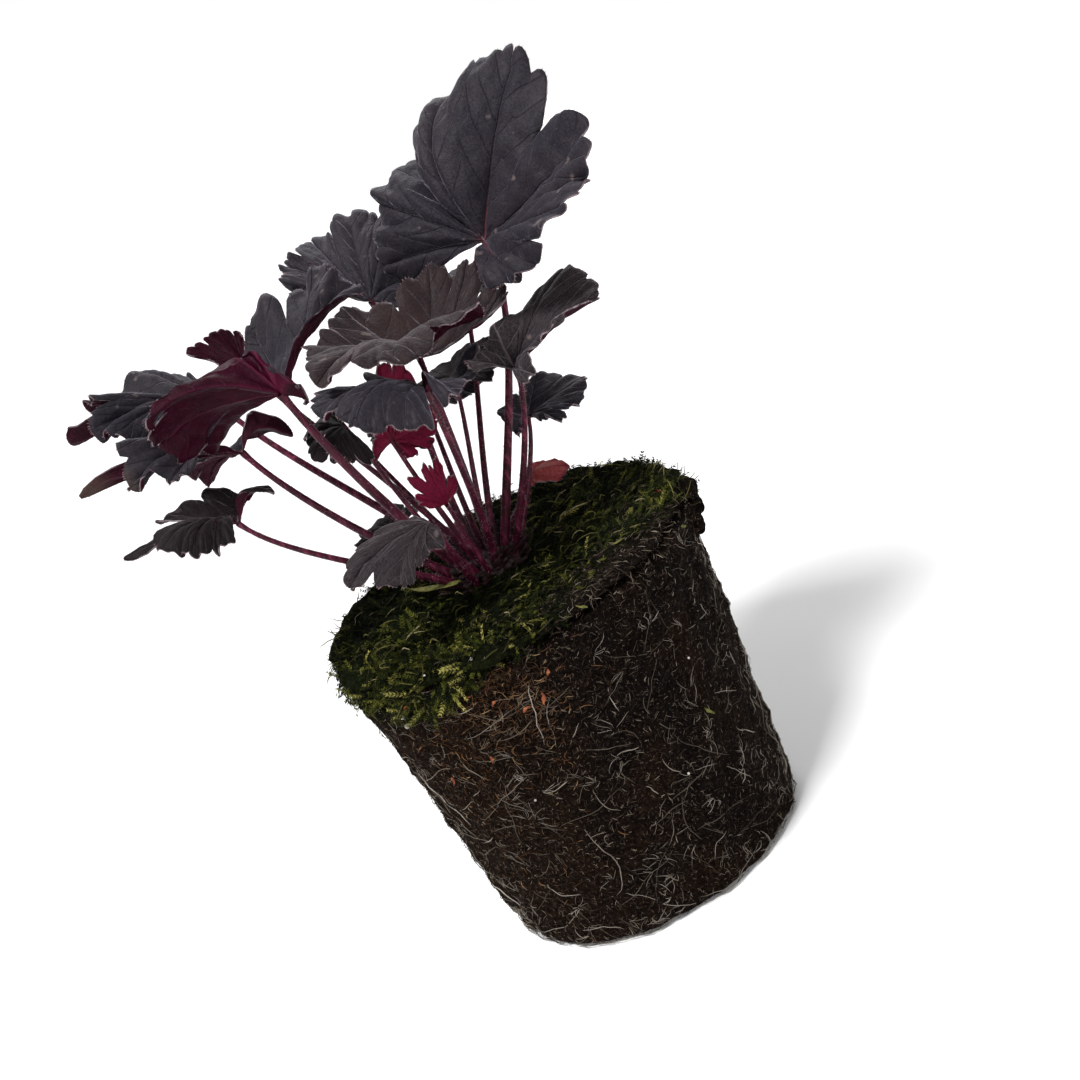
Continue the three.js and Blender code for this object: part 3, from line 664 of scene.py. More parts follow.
deselect_all()
bpy.ops.mesh.primitive_uv_sphere_add(segments=BED_SIDES, ring_count=BED_RINGS, radius=0.05)
moss_bed = bpy.context.object
raw = vertices_of(moss_bed.data)
bearing = np.arctan2(raw[:, 1], raw[:, 0])
share = np.arccos(np.clip(raw[:, 2] / np.linalg.norm(raw, axis=1), -1, 1)) / math.pi
run = moss_reach(bearing) * np.clip(share / BED_TOP_SHARE, 0, 1)
x = run * np.cos(bearing)
y = run * np.sin(bearing)
thin = np.sqrt(1 - np.clip((share / BED_TOP_SHARE - 0.85) / 0.15, 0, 1) ** 2 * 0.8)
z = MOSS_FLOOR + (moss_height(x, y) - MOSS_FLOOR) * thin
z += 0.9 * crumble(np.stack([x, y, 0 * x], axis=-1), 3.7) * thin
under = share > BED_TOP_SHARE
run = np.where(under, 0.975 * moss_reach(bearing) * (1 - share) / (1 - BED_TOP_SHARE), run)
z = np.where(under, MOSS_FLOOR, np.maximum(z, MOSS_FLOOR))
bed_places = np.stack([run * np.cos(bearing), run * np.sin(bearing), z], axis=-1)
place_vertices(moss_bed.data, bed_places)
thin_share = np.clip(0.8 - moss_cover(bed_places), 0, 1)
moss_bed.data.attributes.new("tint", "FLOAT", "POINT").data.foreach_set("value", thin_share)
bpy.ops.object.shade_smooth()
finish_piece(moss_bed, "moss_bed", [moss_bed_material()], ["moss_mat"])


def moss_places(random, count, inner, hang_share):
    """Random feet of shoots, even over the mat and down as far as the moss hangs, clear of the crown."""
    bearing = random.uniform(-math.pi, math.pi, count * 2)
    furthest = RIM_RADIUS + np.maximum(moss_hang(bearing), -9) * hang_share
    run = np.sqrt(random.uniform((inner / 60) ** 2, 1, count * 2)) * furthest
    from_crown = np.hypot(run * np.cos(bearing) - CROWN_AT[0], run * np.sin(bearing) - CROWN_AT[1])
    feet = over_the_rim(bearing, run)[0]
    keep = np.flatnonzero((from_crown > CROWN_CLEAR) & (moss_cover(feet) > 0.3))[:count]
    return bearing[keep], run[keep]


def lay_shoots(random, bearing, run, rise_low, rise_high):
    """Directions of shoots: mostly creeping the same way as their neighbours, and raised a little."""
    places, normal, ahead = over_the_rim(bearing, run)
    side = np.cross(normal, ahead)
    flow = 3.2 * crumble(places, 15) + random.normal(0, 0.9, len(run))
    along = ahead * np.cos(flow)[:, None] + side * np.sin(flow)[:, None]
    rise = random.uniform(rise_low, rise_high, len(run)) + 0.35 * crumble(places, 8)
    tips = along * np.cos(rise)[:, None] + normal * np.sin(rise)[:, None]
    sideways = np.cross(normal, along) * random.normal(0, 0.5, len(run))[:, None]
    return places - normal * SHOOT_SUNK, tips, normal + sideways


random = np.random.default_rng(21)
bearing, run = moss_places(random, MOSS_SHOOTS, 8, 1.0)
places, tips, tops = lay_shoots(random, bearing, run, 0.05, 0.75)
count = len(places)
dark_moss = copy_about("dark_moss", moss_shoot(*DARK_SHOOT), places, tips, tops,
                       random.uniform(0.45, 1.2, count), random.uniform(0.8, 1.5, count),
                       random.uniform(0, 1, count))
dark_greens = moss_material("dark moss", [(0.0, (0.001, 0.0016, 0.0005)), (0.5, (0.0045, 0.007, 0.0014)),
                                          (0.85, (0.02, 0.028, 0.004)), (1.0, (0.08, 0.088, 0.016))])
finish_piece(dark_moss, "dark_moss", [dark_greens])

# Brighter shoots, mostly at the front left and at the right rim: their paler greens are partly the moss's own
# and partly painted light, where light falls on those sides of the mat.
random = np.random.default_rng(22)
bearing, run = moss_places(random, BRIGHT_SHOOTS * 3, 20, 1.15)
front_left = np.exp(-(((bearing - BRIGHT_BEARING) / 0.75) ** 2)) * np.clip((run - 30) / 25, 0, 1)
right_rim = np.exp(-(((bearing - BRIGHT_RIM_BEARING) / 0.5) ** 2)) * np.clip((run - 44) / 12, 0, 1)
chance = 0.1 + 0.9 * np.maximum(front_left, right_rim)
keep = np.flatnonzero(random.uniform(0, 1, len(run)) < chance)[:BRIGHT_SHOOTS]
places, tips, tops = lay_shoots(random, bearing[keep], run[keep], 0.1, 0.9)
count = len(places)
bright_moss = copy_about("bright_moss", moss_shoot(*BRIGHT_SHOOT), places, tips, tops,
                         random.uniform(0.4, 1.25, count), random.uniform(0.8, 1.6, count),
                         random.uniform(0, 1, count))
bright_greens = moss_material("bright moss", [(0.0, (0.002, 0.003, 0.0007)), (0.5, (0.012, 0.017, 0.002)),
                                              (0.85, (0.1, 0.107, 0.015)), (1.0, (0.34, 0.31, 0.085))])
finish_piece(bright_moss, "bright_moss", [bright_greens])


def wander(random, bearing, run, length, steps, lift):
    """Lines that creep over the moss from their feet, bending and rising a little off it."""
    places, normal, ahead = over_the_rim(bearing, run)
    side = np.cross(normal, ahead)
    count = len(run)
    bends = np.cumsum(random.normal(0, 0.45, (count, steps)), axis=1)
    turn = random.uniform(-math.pi, math.pi, count)[:, None] + bends
    step = (length / (steps - 1))[:, None, None]
    ways = ahead[:, None, :] * np.cos(turn)[..., None] + side[:, None, :] * np.sin(turn)[..., None]
    rise = normal[:, None, :] * (lift[:, None] * np.sin(np.linspace(0.2, 1, steps) * 2.6))[..., None]
    lines = places[:, None, :] + np.cumsum(ways * step, axis=1) + rise
    return lines, np.repeat(normal[:, None, :], steps, axis=1)


# Single creeping stems and dry strands lie over the moss.
random = np.random.default_rng(23)
bearing, run = moss_places(random, MOSS_STEMS, 16, 0.9)
count = len(run)
lines, ups = wander(random, bearing, run, random.uniform(*STEM_LENGTHS, count), STEM_STEPS,
                    random.uniform(0.8, 2.2, count))
widths = random.uniform(*STEM_WIDTHS, count)[:, None] * taper_to_ends(STEM_STEPS, 0.35)
moss_stems = strands("moss_stems", lines, ups, widths, random.uniform(0, 1, count) ** 1.6)
stem_colours = fibre_material("moss stem", [(0.0, (0.01, 0.013, 0.002)), (0.5, (0.06, 0.065, 0.012)),
                                            (0.85, (0.2, 0.19, 0.05)), (1.0, (0.4, 0.34, 0.19))])
finish_piece(moss_stems, "moss_stems", [stem_colours])

# Wisps of moss and dry fibre stand up at the rim, at the right, at the left and at the front left.
random = np.random.default_rng(25)
wisp_bearing = random.choice(WISP_BEARINGS, RIM_WISPS)
bearing = wisp_bearing + random.normal(0, 0.16, RIM_WISPS)
places, normal, ahead = over_the_rim(bearing, random.uniform(53, 61, RIM_WISPS))
rising = random.uniform(0.4, 1, RIM_WISPS)[:, None]
leaning = random.uniform(-0.1, 0.9, RIM_WISPS)[:, None]
way = normal * rising + ahead * leaning
way += random.normal(0, 0.3, (RIM_WISPS, 3))
way /= np.linalg.norm(way, axis=1, keepdims=True)
bend = np.cross(way, random.normal(0, 1, (RIM_WISPS, 3)))
length = random.uniform(*WISP_LENGTHS, RIM_WISPS)[:, None, None]
share = np.linspace(0, 1, WISP_STEPS)[None, :, None]
lines = places[:, None, :] + length * (way[:, None, :] * share + 0.3 * bend[:, None, :] * share**2)
ups = np.repeat(np.cross(way, bend)[:, None, :], WISP_STEPS, axis=1)
widths = random.uniform(*WISP_WIDTHS, RIM_WISPS)[:, None] * taper_to_ends(WISP_STEPS, 0.4)
rim_wisps = strands("rim_wisps", lines, ups, widths, random.uniform(0, 1, RIM_WISPS) ** 1.3)
finish_piece(rim_wisps, "rim_wisps", [stem_colours])

# Short fibres of the peat show where the moss is thin.
random = np.random.default_rng(24)
bearing = MOSS_THIN_BEARING + random.normal(0, 0.62, THIN_FIBRES)
run = random.uniform(36, 60, THIN_FIBRES)
lines, ups = wander(random, bearing, run, random.uniform(*THIN_LENGTHS, THIN_FIBRES), THIN_STEPS,
                    random.uniform(0.1, 0.7, THIN_FIBRES))
widths = random.uniform(*THIN_WIDTHS, THIN_FIBRES)[:, None] * taper_to_ends(THIN_STEPS, 0.4)
thin_fibres = strands("thin_fibres", lines, ups, widths, random.uniform(0, 1, THIN_FIBRES) ** 1.5)
finish_piece(thin_fibres, "thin_fibres", [root_colours])


# Litter on the ball: a dry olive leaf strip at the foot of the stalks, shreds of leaf and bark, white
# granules of the growing mix, and clods of peat that crumble out of the rim.
STRIP_LENGTH = 25.0
STRIP_WIDTH = 1.5
STRIP_AT = (-21.5, 1.3)
STRIP_SPIN = -0.25
STRIP_LIFT = 2.6
SHRED_THICKNESS = 0.18
BARK_SPIN = 0.55
START_RADIUS = 10

# Each row of SHREDS and GRANULES starts with a bearing in radians and the way out from the middle, over the
# rim and down. SHREDS then gives length, width and spin in half turns, and those spun past BARK_SPIN are
# bark. GRANULES then gives the size. CLODS gives bearings in degrees, heights, stand-offs and sizes.
SHREDS = [
    (-1.30, 56, 3.2, 0.4, 0.2), (-2.36, 63, 3.0, 0.5, 0.8), (-1.68, 73, 3.6, 0.55, 0.9),
    (-0.93, 108, 4.4, 0.45, 0.15), (-1.78, 74, 2.6, 0.5, 0.6), (-2.28, 61, 3.4, 0.5, 0.5),
    (-2.08, 86, 2.2, 0.4, 0.9), (-0.16, 52, 4.2, 0.7, 0.65), (-2.75, 55, 4.6, 0.9, 0.5),
    (-0.75, 45, 3.4, 0.5, 0.2), (0.05, 46, 3.2, 0.5, 0.3), (-1.25, 30, 4.4, 0.5, 0.25),
    (-2.4, 92, 2.6, 0.45, 0.9), (-0.5, 60, 2.4, 0.4, 0.3), (-1.5, 41, 4.6, 0.4, 0.3),
    (-1.1, 24, 3.6, 0.6, 0.2), (1.2, 40, 4.0, 0.6, 0.4), (2.4, 44, 3.6, 0.6, 0.6),
    (1.8, 66, 3.0, 0.5, 0.9), (2.9, 70, 2.8, 0.4, 0.7), (-1.9, 68, 2.2, 0.35, 0.7),
    (-1.6, 66, 1.8, 0.4, 0.85), (-2.0, 64, 2.4, 0.3, 0.6),
]
GRANULES = [
    (-2.60, 65, 0.55), (-2.44, 67, 0.62), (-2.45, 70, 0.75), (-2.2, 56, 0.5), (-1.92, 55, 0.55),
    (-1.2, 120, 0.4), (-0.9, 90, 0.35), (-2.0, 104, 0.4), (0.6, 88, 0.45), (1.5, 72, 0.5), (2.6, 98, 0.45),
    (0.2, 112, 0.4),
]
CLODS = [
    (-9, 101, 1.2, 3.4), (-13, 97, 0.6, 2.6), (-4, 104, 1.6, 2.8), (2, 103, 1.0, 2.4), (-18, 102, 0.8, 2.2),
    (-8, 93, 0.3, 2.2), (-11, 105, 2.0, 2.0), (172, 98, 0.5, 2.0), (166, 94, 0.4, 1.6), (20, 104, 0.8, 2.0),
]


def litter_material(name, stops, scale):
    """Dry plant matter or stone, finely mottled."""
    material, tree, shader = new_material(name, 0.7, Specular_IOR_Level=0.2)
    grain = noise_of(tree, scale, 4, 0.6)
    tree.links.new(ramp_of(tree, grain, stops), shader.inputs["Base Color"])
    bump_of(tree, shader, grain, 0.4 * MM, 0.7)
    return material


def shred(number, bearing, run, length, width, spin, lift=0.9):
    """A curled pointed shred: a subdivided strip, narrowed to its ends, with its thickness."""
    deselect_all()
    bpy.ops.mesh.primitive_grid_add(x_subdivisions=10, y_subdivisions=3, size=2)
    piece = bpy.context.object
    grid = vertices_of(piece.data) * MM
    along = grid[:, 0]
    across = grid[:, 1]
    narrow = (1 - np.abs(along) ** 1.4) * 0.95 + 0.05
    ragged = 1 + 0.3 * np.sin(5 * along + number)
    sway = 0.35 * np.sin(2.6 * along + 2 * number)
    torn = width * (narrow * across * ragged + sway)
    curl = 0.3 * width * across**2 + 0.05 * length * along**2 + 0.3 * width * along * across
    flat = np.stack([along * length / 2, torn, curl], axis=-1)
    foot, normal, ahead = (rows[0] for rows in over_the_rim(np.array([bearing]), np.array([float(run)])))
    side = np.cross(normal, ahead)
    way = ahead * math.cos(spin * math.pi) + side * math.sin(spin * math.pi)
    beside = np.cross(normal, way)
    lying = foot + normal * (lift + 0.2 * math.sin(number))
    place_vertices(piece.data, lying + flat[:, :1] * way + flat[:, 1:2] * beside + flat[:, 2:] * normal)
    bpy.ops.object.shade_smooth()
    thick = piece.modifiers.new("thickness", "SOLIDIFY")
    thick.thickness = SHRED_THICKNESS * MM
    bpy.ops.object.modifier_apply(modifier="thickness")
    return piece


def granule(number, bearing, run, size):
    """A rounded, slightly lumpy grain."""
    deselect_all()
    bpy.ops.mesh.primitive_ico_sphere_add(subdivisions=2, radius=size * MM)
    piece = bpy.context.object
    foot, normal, _ = (rows[0] for rows in over_the_rim(np.array([bearing]), np.array([float(run)])))
    raw = vertices_of(piece.data)
    rough = raw * (1 + 0.16 * crumble(raw + 7 * number, 0.7))[:, None]
    place_vertices(piece.data, foot + normal * size * 1.1 + rough)
    bpy.ops.object.shade_smooth()
    return piece


def clod(bearing, z, stand_off, size):
    """A crumb of peat, rough all over, half sunk in the ball's side."""
    deselect_all()
    bpy.ops.mesh.primitive_ico_sphere_add(subdivisions=4, radius=START_RADIUS * MM)
    piece = bpy.context.object
    raw = vertices_of(piece.data) / START_RADIUS
    middle = ball_side(np.array([math.radians(bearing)]), np.array([float(z)]), stand_off)[0]
    shaped = middle + raw * size * np.array([0.9, 0.9, 1.15])
    shaped += raw * (0.3 * size * crumble(shaped, 0.9 * size) + 0.5 * crumble(shaped, 1.6))[:, None]
    place_vertices(piece.data, shaped)
    bpy.ops.object.shade_smooth()
    return piece


olive = litter_material("dry olive leaf", [(0.35, (0.05, 0.055, 0.01)), (0.55, (0.13, 0.13, 0.03)),
                                           (0.7, (0.2, 0.1, 0.05))], 500)
orange = litter_material("orange bark", [(0.35, (0.06, 0.015, 0.006)), (0.55, (0.26, 0.075, 0.028)),
                                         (0.72, (0.4, 0.2, 0.09))], 900)
white = litter_material("white granule", [(0.35, (0.35, 0.32, 0.27)), (0.7, (0.75, 0.72, 0.66))], 900)
strip = shred(0, math.atan2(STRIP_AT[1], STRIP_AT[0]), math.hypot(*STRIP_AT), STRIP_LENGTH, STRIP_WIDTH,
              STRIP_SPIN, STRIP_LIFT)
clods = join_pieces([clod(*row) for row in CLODS])
finish_piece(clods, "peat_clods", [PEAT])

greens = [strip]
oranges = []
for number, (bearing, run, length, width, spin) in enumerate(SHREDS):
    piece = shred(number, bearing, run, length, width, spin)
    if spin > BARK_SPIN:
        oranges.append(piece)
    else:
        greens.append(piece)
for name, pieces, material in (("olive_litter", greens, olive), ("bark_litter", oranges, orange)):
    finish_piece(join_pieces(pieces), name, [material])
grains = join_pieces([granule(number, *row) for number, row in enumerate(GRANULES)])
finish_piece(grains, "white_granules", [white])


# Leaves: each is a thin round blade with lobes and rounded teeth, slate black above and wine red below, held
# on a slender hairy stalk from the crown. A blade is the smooth surface through its main veins, one to a
# lobe, and its fine relief is puckered skin between sunken veins.
BLADE_THICKNESS = 0.5
END_VEIN_SHARE = 0.85
LOBE_DEPTH = 0.18
LOBE_ROUNDING = 0.25
LEAST_CUT = -0.15
LEAST_ROUNDING = 0.02
CUT_ROUNDING = 1.5
TEETH = 5
TOOTH_DEPTH = 0.045
TOOTH_ROUNDING = 0.5
RUFFLE = 0.04
RUFFLE_TURN = 5.2
TOOTH_DRIFT = 0.11
FRILL = 0.022
CRUMPLE = 0.014
PLEAT = 0.055
VEIN_SLANT = math.radians(38)
VEIN_SPACING = 0.17
VEIN_STAGGER = 0.45
QUILT_RISE = 0.011
MIDRIB_SINK = 0.014
MAIN_VEIN_WIDTH = 0.009
SIDE_VEIN_WIDTH = 0.05
SIDE_VEIN_HEIGHT = 0.6
NET_CELLS = 26.0
NET_WIDTH = 0.09
NET_HEIGHT = 0.12
WHOLE_LEAF = math.radians(316)
STALK_BASE_RADIUS = 1.5
STALK_TIP_RADIUS = 0.75
STALK_SUNK = 4.0
STALK_TAPER = 0.7
STALK_SWEEP = 0.9
STALK_STEPS = 40
STALK_SIDES = 10
STALK_FLARE = 0.35
STALK_FLARE_FROM = 0.93
STALK_FLARE_LENGTH = 0.07
HAIR_RADII = (0.05, 0.012)
HAIRS_PER_MM = 5
HAIR_LENGTHS = (0.5, 1.3)
FRINGE_PER_MM = 2.4
FRINGE_LENGTHS = (0.35, 0.8)
CROWN_RADIUS = 12.0
CROWN_TOP = 112.5
CROWN_DOME = 5.0

# at is the stalk's end, root its place on the crown (a bearing and a distance), face the way the upper side
# looks. veins go clockwise round the upper side: where each ends, as steps from the stalk along X, Y and Z,
# how far it bows towards the face halfway, and, where given, how much deeper than usual the notches beside
# its lobe are (less than nothing is shallower). teeth is the teeth to a lobe, tooth_depth their share of the
# reach, and fine the mesh's columns to a tooth. cut_rounding is how much a deeper notch narrows its lobe,
# stout how thick the stalk is, and finish the colours, slate if none is given. The veins repeat the plant's
# own solids, apart from the tip of the largest leaf's fourth lobe and the notches of leaves 01, 06, 17, 18.
# Leaves 07, 11 and 14, inside the clump, have a near-black top that is painted shade.
LEAVES = [
    dict(name="01", at=(41, 12, 196.5), root=(5, 6), face=(-0.6, -0.4, 0.7), teeth=4, tooth_depth=0.06,
         fine=9,
         veins=[(-29, 20, 2, 3), (-23, 22, 21, 5, -0.15), (-3, 32, 26, 9, -0.15), (12, 28, 39, 13, -0.5),
                (36, 12, 43, 3, 0.16), (41, -22, 18, 0, 0.12), (25, -36, 6, 1), (3, -24, -8, 3)]),
    dict(name="02", at=(3, 24, 194), root=(110, 5), face=(-0.3, -0.5, 0.8), teeth=4, fine=8,
         veins=[(-21, 8, 14, 2), (-19, 18, 20, 2), (-8, 26, 20, 2), (7, 30, 21, 2), (20, 26, 14, 2),
                (15, 14, -3, 2), (10, -3, -5, 0)]),
    dict(name="03", at=(-31, -14, 191.5), root=(225, 7.5), face=(0, 0, 1), stout=1.35, teeth=4, fine=8,
         veins=[(6, -5, -1, 3), (-2, 8, 3, 11), (-14, 10, 7, 10), (-34, -12, 16, 6), (-39, 8, 0, 5),
                (-24, 18, -10, 3), (-1, 40, 13, -5), (24, 41, 19, -2), (33, 32, 11, 4)]),
    dict(name="04", at=(8, -8, 180), root=(315, 3), face=(0, 0, 1), finish="brownish",
         veins=[(21, -10, 7, 3), (-6, -28, 9, 7), (-28, -22, 15, 6), (-26, 0, 19, 0), (-13, 14, 19, -2),
                (15, 27, 15, -4), (26, 22, 13, -4), (32, 10, 4, -3)]),
    dict(name="05", at=(-54, 38, 187.5), root=(150, 6.5), face=(0, 0, 1), teeth=3, tooth_depth=0.03, fine=9,
         veins=[(-16, -16, 1, 3), (-28, -20, 7, 4), (-34, -18, 13, 3), (-31, -10, 21, 0),
                (-44, -4, 11, 0, 0.2), (-17, 14, 14, 2), (-6, 18, 5, 0)]),
    dict(name="06", at=(-52, 14, 174.5), root=(180, 9.5), face=(0, 0, 1), teeth=3, tooth_depth=0.03, fine=11,
         cut_rounding=7, finish="tailed",
         veins=[(-20, -14, 7, 5), (-32, -16, 11, 5), (-29, -10, 22, 3), (-48, -2, 11, 4, 0.8),
                (-22, 10, -1, 2), (-12, 10, -5, 2), (15, 6, -1, 5, 0.2)]),
    dict(name="07", at=(-60.5, -12, 163.5), root=(200, 10.5), face=(0, 0, 1), teeth=3, tooth_depth=0.035,
         fine=9, finish="shaded",
         veins=[(-4, -20, 1, 5), (-12, -24, 4, 6), (-19, -20, 9, 5), (-33, -2, 7, 3, 0.7), (-18, 12, 10, 0),
                (1, 18, 5, -2), (13, 6, 1, 5, 0.3)]),
    dict(name="08", at=(-39, 24, 194), root=(165, 3), face=(0, 1, 0), teeth=4, finish="red",
         veins=[(2, 2, 5, 1), (3, 6, 9, 1), (-3, 8, 13, 1), (-14, 6, 12, 1), (-8, 2, 6, 1)]),
    dict(name="09", at=(5.5, -24, 175), root=(290, 6.5), face=(0, 0, 1),
         veins=[(-9, -22, -2, 6), (-21, -24, 6, 8), (-30, -6, 12, 4), (-26, 13, 10, 0), (-12, 24, 6, -5, 0.5),
                (19, 21, -2, -4, 0.5), (7, -14, -2, 4)]),
    dict(name="10", at=(-11, 6, 158), root=(230, 3.5), face=(0, 1, 0.3), teeth=4, finish="bright",
         veins=[(3, 0, -7, 1), (9, 2, -8, 1), (15, 4, -2, 1), (14, 6, 16, 1), (8, 2, 22, 1), (-1, -2, 10, 1),
                (-7, -2, -1, 1)]),
    dict(name="11", at=(14, 22, 162), root=(40, 2.5), face=(0, 0, 1), teeth=4, finish="shaded",
         veins=[(-4, -14, -2, 1), (-12, 4, 0, 1), (2, 18, 1, 1), (18, 8, 2, 1), (12, -10, -2, 1)]),
    dict(name="12", at=(31, -8, 163.5), root=(335, 8.5), face=(-0.4, -0.5, 0.7), teeth=4, finish="pale",
         veins=[(-11, -12, 12, 2), (1, 4, 13, 1, 0.2), (27, 14, 16, 3, -0.1), (31, 0, 8, 3, -0.1),
                (13, -6, 8, 1, 0.1), (3, -14, 1, 2)]),
    dict(name="13", at=(28.5, 22, 139.5), root=(20, 10.5), face=(-0.2, -0.4, 0.9), teeth=4,
         veins=[(-6, -10, 0, 1), (-7, -2, 7, 1), (10, 14, 6, 1), (22, 6, 0, 1), (16, -6, -2, 2),
                (8, -12, -2, 2), (4, -10, 0, 1)]),
    dict(name="14", at=(-21, 2, 170), root=(195, 6), face=(-0.2, -0.4, 0.9), teeth=3, fine=8, finish="shaded",
         veins=[(2, -6, -12, 1), (-5, -10, -7, 2), (-12, -10, -2, 2), (-11, -2, 3, 1), (-3, 6, 4, 0)]),
    dict(name="15", at=(-11.5, -26, 141), root=(240, 11), face=(-0.3, -0.3, 0.9), teeth=4, finish="pale",
         veins=[(-4, -6, -7, 2), (-16, -16, -7, 3), (-29, -14, 0, 3), (-20, 0, 3, 2), (-11, 10, 1, 1)]),
    dict(name="16", at=(-20.5, 20, 128), root=(142, 11), face=(-0.3, -0.3, 0.9), teeth=4, finish="pale",
         veins=[(-7, -6, -1, 1), (-17, -2, 2, 1), (-12, 4, 3, 1), (-1, 10, 4, 1), (4, 8, 1, 1)]),
    dict(name="17", at=(-5.5, -10, 138), root=(262, 8.5), face=(0, -1, 0.2), teeth=3, tooth_depth=0.16,
         cut_rounding=0.15, fine=14, finish="young",
         veins=[(-7, -4, 7, 0, 0.5), (-6, -4, 14, 1, 0.5), (0, -2, 15, 1, 0.5), (4, 0, 14, 1, 0.5),
                (6, 2, 5, 0, 0.5)]),
    dict(name="18", at=(20, 32, 118.5), root=(60, 11), face=(0, -0.5, 0.9), teeth=1, tooth_depth=0.03,
         fine=16, finish="faded",
         veins=[(2, -4, -2, 0, -0.15), (9, -4, -4, 1, -0.15), (13, 1, -3, 2, -0.15), (9, 5, 0, 1, -0.15),
                (3, 4, 2, 0, -0.15)]),
    dict(name="19", at=(30, 52, 179), root=(60, 7), face=(0, 0, 1), teeth=4,
         veins=[(-16, -6, -3, 3), (-20, 12, -3, 3), (-7, 25, -4, 3), (13, 23, -6, 3), (25, 7, -5, 3),
                (19, -11, -4, 3), (4, -17, -3, 2)]),
    dict(name="20", at=(-24, 44, 162), root=(115, 9.5), face=(0, 0, 1), teeth=4,
         veins=[(-8, -7, -2, 2), (-13, 8, -3, 2), (2, 17, -4, 2), (14, 6, -3, 2), (7, -9, -2, 2)]),
    dict(name="21", at=(2, 46, 154), root=(90, 9), face=(0, 0, 1), teeth=4,
         veins=[(-12, -10, -4, 2), (-21, 4, -5, 3), (-16, 18, -6, 3), (2, 25, -7, 3), (18, 16, -6, 3),
                (21, 0, -5, 3), (10, -11, -4, 2)]),
]


def unit(vector):
    """The same direction with a length of one."""
    return np.asarray(vector, float) / np.linalg.norm(vector)


def blade_size(leaf):
    """Length of a leaf's longest vein."""
    return max(math.hypot(*vein[:3]) for vein in leaf["veins"])


def vein_rows(leaf):
    """A leaf's veins with two made-up ones beyond each end, where the smooth curve through them starts."""
    rows = [np.array([*vein, 0][:5], float) for vein in leaf["veins"]]

    def beyond(end, inner):
        row = 2 * end - inner
        row[:3] *= END_VEIN_SHARE * np.linalg.norm(end[:3]) / np.linalg.norm(row[:3])
        return row

    first = beyond(rows[0], rows[1])
    last = beyond(rows[-1], rows[-2])
    return np.array([2 * first - rows[0], first, *rows, last, 2 * last - rows[-1]])


def vein_at(leaf, place):
    """The veins that a leaf would have at places counted in lobes, 0 being the first vein."""
    rows = vein_rows(leaf)
    k = np.clip(np.floor(place), -1, len(leaf["veins"]) - 1).astype(int)
    t = (place - k)[..., None]
    a, b, c, d = (rows[k + n] for n in (1, 2, 3, 4))
    curve = 2 * b + (c - a) * t + (2 * a - 5 * b + 4 * c - d) * t**2 + (3 * b - a - 3 * c + d) * t**3
    return 0.5 * curve


def lobe_reach(leaf, place, cut):
    """How much of its vein's length the blade has at a place, without its teeth: a round lobe to each vein."""
    w = place - np.round(place)
    rounding = LOBE_ROUNDING + leaf.get("cut_rounding", CUT_ROUNDING) * cut
    lobe = np.abs(np.cos(np.pi * w)) ** np.maximum(rounding, LEAST_ROUNDING)
    return 1 - (LOBE_DEPTH + cut) * (1 - lobe)


def tooth_reach(leaf, place, cut):
    """How much the uneven round teeth leave of the blade: they are shallow where the notches are."""
    w = place - np.round(place)
    teeth = leaf.get("teeth", TEETH)
    kind = blade_size(leaf) + 2.3 * np.round(place)
    drift = TOOTH_DRIFT * np.sin(2 * np.pi * (w + 0.5)) * np.cos(kind)
    tooth = np.abs(np.sin(np.pi * teeth * (w + 0.5 + drift))) ** TOOTH_ROUNDING
    depth = leaf.get("tooth_depth", TOOTH_DEPTH) * (1.1 + 0.7 * np.sin(2.9 * teeth * place + kind))
    return 1 - depth * (1 + 0.8 * np.clip(cut / -LEAST_CUT, -1, 0)) * (1 - tooth)


def nearest_lobe(leaf, place):
    """The number of the lobe that a place is in."""
    return np.clip(np.round(place), 0, len(leaf["veins"]) - 1)


def vein_place(leaf, place, share, lobe):
    """Where a point lies from the main vein of a lobe: across and along it, as shares of the leaf's size."""
    vein = vein_at(leaf, place)
    away = (place - lobe) * WHOLE_LEAF / len(leaf["veins"])
    length = np.linalg.norm(vein[..., :3], axis=-1) / blade_size(leaf)
    cut = np.clip(vein[..., 4], LEAST_CUT, 1)
    reach = lobe_reach(leaf, place, cut) * tooth_reach(leaf, place, cut)
    return reach * share * length * np.sin(away), reach * share * length * np.cos(away)


def side_vein_start(leaf, lobe):
    """How far along its main vein a lobe's side veins start, as a share of the leaf's size."""
    return 0.08 * np.sin(2.4 * lobe + blade_size(leaf))


def blade_relief(leaf, place, share, points):
    """Height of the puckered, slightly crumpled blade between its sunken veins."""
    size = blade_size(leaf)
    lobe = nearest_lobe(leaf, place)
    across, along = vein_place(leaf, place, share, lobe)
    along = along + side_vein_start(leaf, lobe) + VEIN_STAGGER * VEIN_SPACING * (across > 0)
    across = np.abs(across)
    phase = (along - across / math.tan(VEIN_SLANT)) / VEIN_SPACING
    quilt = np.abs(np.sin(np.pi * phase)) ** 0.6 * (1 - np.exp(-((across / 0.05) ** 2)))
    main = np.exp(-((across / 0.016) ** 2))
    x, y, z = (points[..., k] for k in range(3))
    crumple = lumps(x, y, z, 0.5 * size) + 0.6 * lumps(z, x, y, 0.22 * size)
    fade = np.clip(share / 0.15, 0, 1)
    pleat = np.sin(np.pi * (place - lobe)) ** 2 * np.clip(share, 0, 1) * (1.15 - share)
    ribs = (QUILT_RISE * quilt - MIDRIB_SINK * main) * np.clip((1 - share) / 0.12, 0.15, 1)
    return size * (ribs + CRUMPLE * crumple + PLEAT * pleat) * fade


